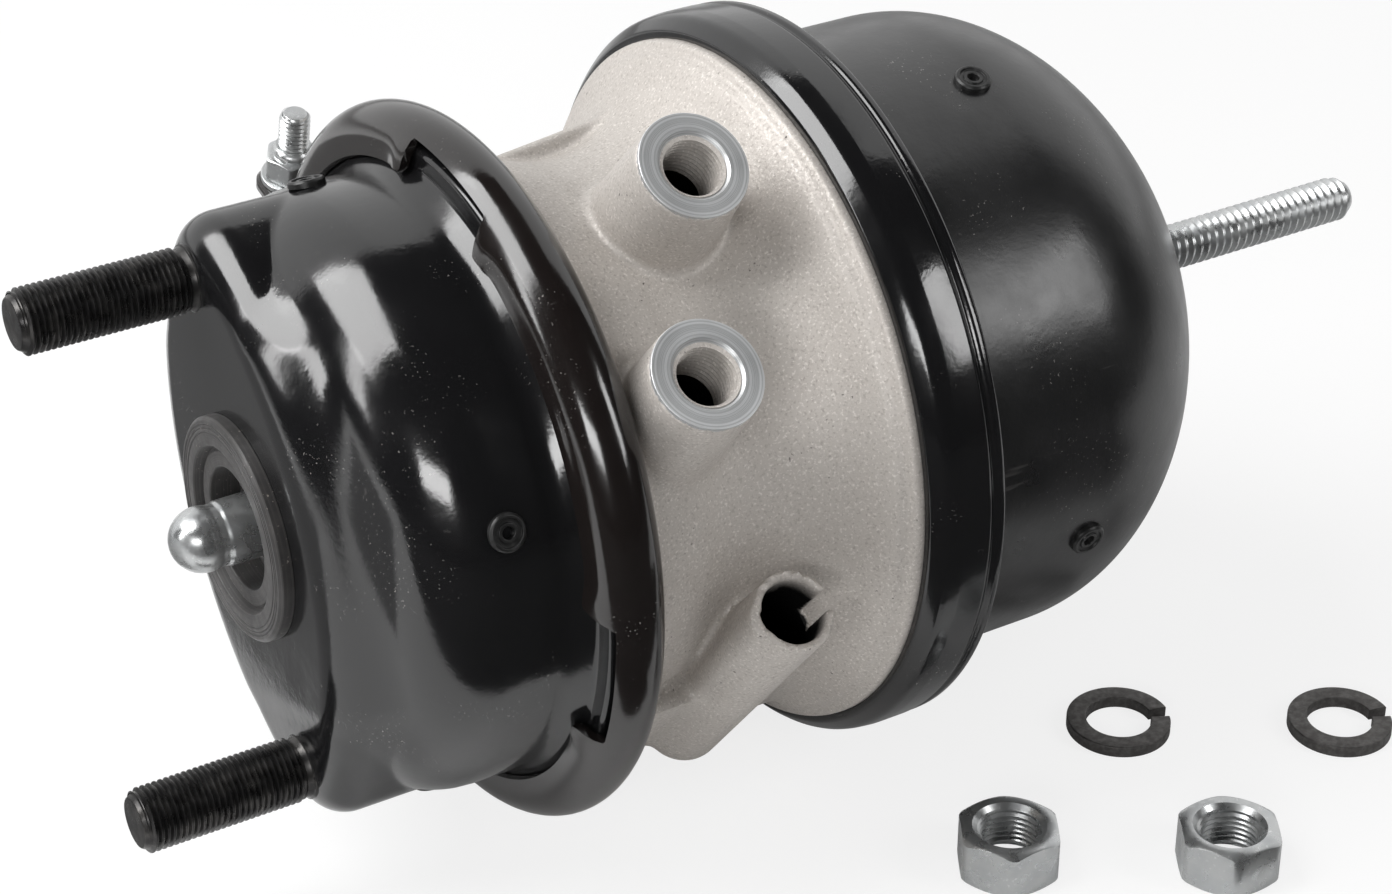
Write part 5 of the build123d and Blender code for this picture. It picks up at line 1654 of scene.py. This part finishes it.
def dark_screen(first, last, radius, top):
    """Black cloth in a curved wall round the left, near and right sides, and a ceiling over it."""
    posts = 25
    turns = np.radians(np.linspace(first, last, posts))
    level = FLOOR * MM
    corners = [(radius * math.cos(turn), radius * math.sin(turn), level) for turn in turns]
    corners += [(x, y, top) for x, y, _ in corners]
    dark_piece("dark_screen", corners, [(n, n + 1, n + posts + 1, n + posts) for n in range(posts - 1)])
    square = ((-1, -1), (1, -1), (1, 1), (-1, 1))
    dark_piece("dark_ceiling", [(x * radius, y * radius, top) for x, y in square], [(0, 1, 2, 3)])


def dark_mat(name, left, right, near, far, tone=0.01):
    """Cloth on the floor beside the object, clear of the loose fittings."""
    level = FLOOR * MM + 0.0004
    corners = [(left, near, level), (right, near, level), (right, far, level), (left, far, level)]
    dark_piece(name, corners, [(0, 1, 2, 3)], tone)


def studio_world():
    """Soft even light, with a white background for what is seen directly, mirrored or through glass."""
    world = bpy.data.worlds.new("studio")
    world.use_nodes = True
    tree = world.node_tree
    tree.nodes.clear()
    path = tree_node(tree, "ShaderNodeLightPath").outputs
    seen = tree_math(tree, "MAXIMUM", path["Is Camera Ray"], path["Is Glossy Ray"])
    seen = tree_math(tree, "MAXIMUM", seen, path["Is Transmission Ray"])
    lights = [
        tree_node(tree, "ShaderNodeBackground", [("Color", (1, 1, 1, 1)), ("Strength", strength)]).outputs[0]
        for strength in (0.27, 1.0)
    ]
    mix = tree_node(tree, "ShaderNodeMixShader", [(0, seen), (1, lights[0]), (2, lights[1])])
    tree_node(tree, "ShaderNodeOutputWorld", [("Surface", mix.outputs[0])])
    bpy.context.scene.world = world


class CHAMBER_OT_stage(bpy.types.Operator):
    """Floor, lamps, background and the camera at the photograph's angle"""

    bl_idname = "chamber.stage"
    bl_label = "Stage"

    def execute(self, context):
        reach, level = 4.0, FLOOR * MM
        mesh = bpy.data.meshes.new("studio_floor")
        square = ((-1, -1), (1, -1), (1, 1), (-1, 1))
        mesh.from_pydata([(x * reach, y * reach, level) for x, y in square], [], [(0, 1, 2, 3)])
        mesh.materials.append(floor_material(finishes().floor))
        floor = bpy.data.objects.new("studio_floor", mesh)
        context.scene.collection.objects.link(floor)
        middle = (0.09, 0.0, 0.0)
        soft_box("key_box", (-0.7, 0.34, 1.06), middle, 0.92, 0.92, 19)
        soft_box("left_box", (-1.1, 0.25, 0.5), middle, 0.22, 0.5, 2.5)
        soft_box("side_box", (-0.85, -0.95, 0.52), middle, 0.62, 0.26, 5)
        soft_box("rear_box", (0.93, -1.02, 0.68), middle, 0.3, 0.6, 3.8)
        dark_screen(-225, -6, 2.0, 3.5)
        dark_mat("dark_mat_left", -1.9, 0.115, -1.9, -0.125)
        dark_mat("dark_mat_right", 0.115, 1.9, -1.9, -0.3)
        dark_mat("dark_mat_rear", 0.115, 0.36, -0.3, -0.15)
        dark_mat("grey_mat_front", -0.6, -0.03, 0.0, 0.6, 0.2)
        studio_world()
        camera = bpy.data.cameras.new("camera")
        camera.lens = 84.93
        camera.sensor_width = 36.0
        camera.sensor_fit = "HORIZONTAL"
        shown = bpy.data.objects.new("camera", camera)
        shown.location = (-0.248627, -0.617305, 0.414175)
        shown.rotation_euler = (math.radians(59.15), 0.0, math.radians(-31.16))
        context.scene.collection.objects.link(shown)
        context.scene.camera = shown
        context.scene.view_settings.view_transform = "Standard"
        return {"FINISHED"}


OPERATORS = (
    CHAMBER_OT_stage,
    CHAMBER_OT_front_pot,
    CHAMBER_OT_rear_pot,
    CHAMBER_OT_crimp_ring,
    CHAMBER_OT_clamp_band,
    CHAMBER_OT_clamp_fasteners,
    CHAMBER_OT_centre_housing,
    CHAMBER_OT_studs,
    CHAMBER_OT_front_seal,
    CHAMBER_OT_push_rod,
    CHAMBER_OT_release_bolt,
    CHAMBER_OT_drain_plugs,
    CHAMBER_OT_loose_fittings,
    CHAMBER_OT_springs,
    CHAMBER_OT_inner_parts,
)


class CHAMBER_PT_pieces(bpy.types.Panel):
    """Pieces of the chamber, with the sizes and finishes that can be changed"""

    bl_idname = "CHAMBER_PT_pieces"
    bl_label = "Spring brake chamber"
    bl_space_type = "VIEW_3D"
    bl_region_type = "UI"
    bl_category = "Chamber"

    def draw(self, context):
        column = self.layout.column()
        for operator in OPERATORS:
            column.operator(operator.bl_idname)
        scene = context.scene
        for group in (scene.chamber_pots, scene.chamber_housing, scene.chamber_finishes):
            box = self.layout.box()
            for name in group.__annotations__:
                box.prop(group, name)


CLASSES = (ChamberPotSizes, ChamberHousingSizes, ChamberFinishes, *OPERATORS, CHAMBER_PT_pieces)


def register():
    """Register the classes and hang the settings on the scene."""
    for kind in CLASSES:
        bpy.utils.register_class(kind)
    bpy.types.Scene.chamber_pots = bpy.props.PointerProperty(type=ChamberPotSizes)
    bpy.types.Scene.chamber_housing = bpy.props.PointerProperty(type=ChamberHousingSizes)
    bpy.types.Scene.chamber_finishes = bpy.props.PointerProperty(type=ChamberFinishes)


def unregister():
    """Take the settings off the scene and unregister the classes."""
    del bpy.types.Scene.chamber_finishes
    del bpy.types.Scene.chamber_housing
    del bpy.types.Scene.chamber_pots
    for kind in reversed(CLASSES):
        bpy.utils.unregister_class(kind)


def main():
    """Make every piece in order."""
    register()
    for operator in OPERATORS:
        group, name = operator.bl_idname.split(".")
        getattr(getattr(bpy.ops, group), name)()


if __name__ == "__main__":
    main()
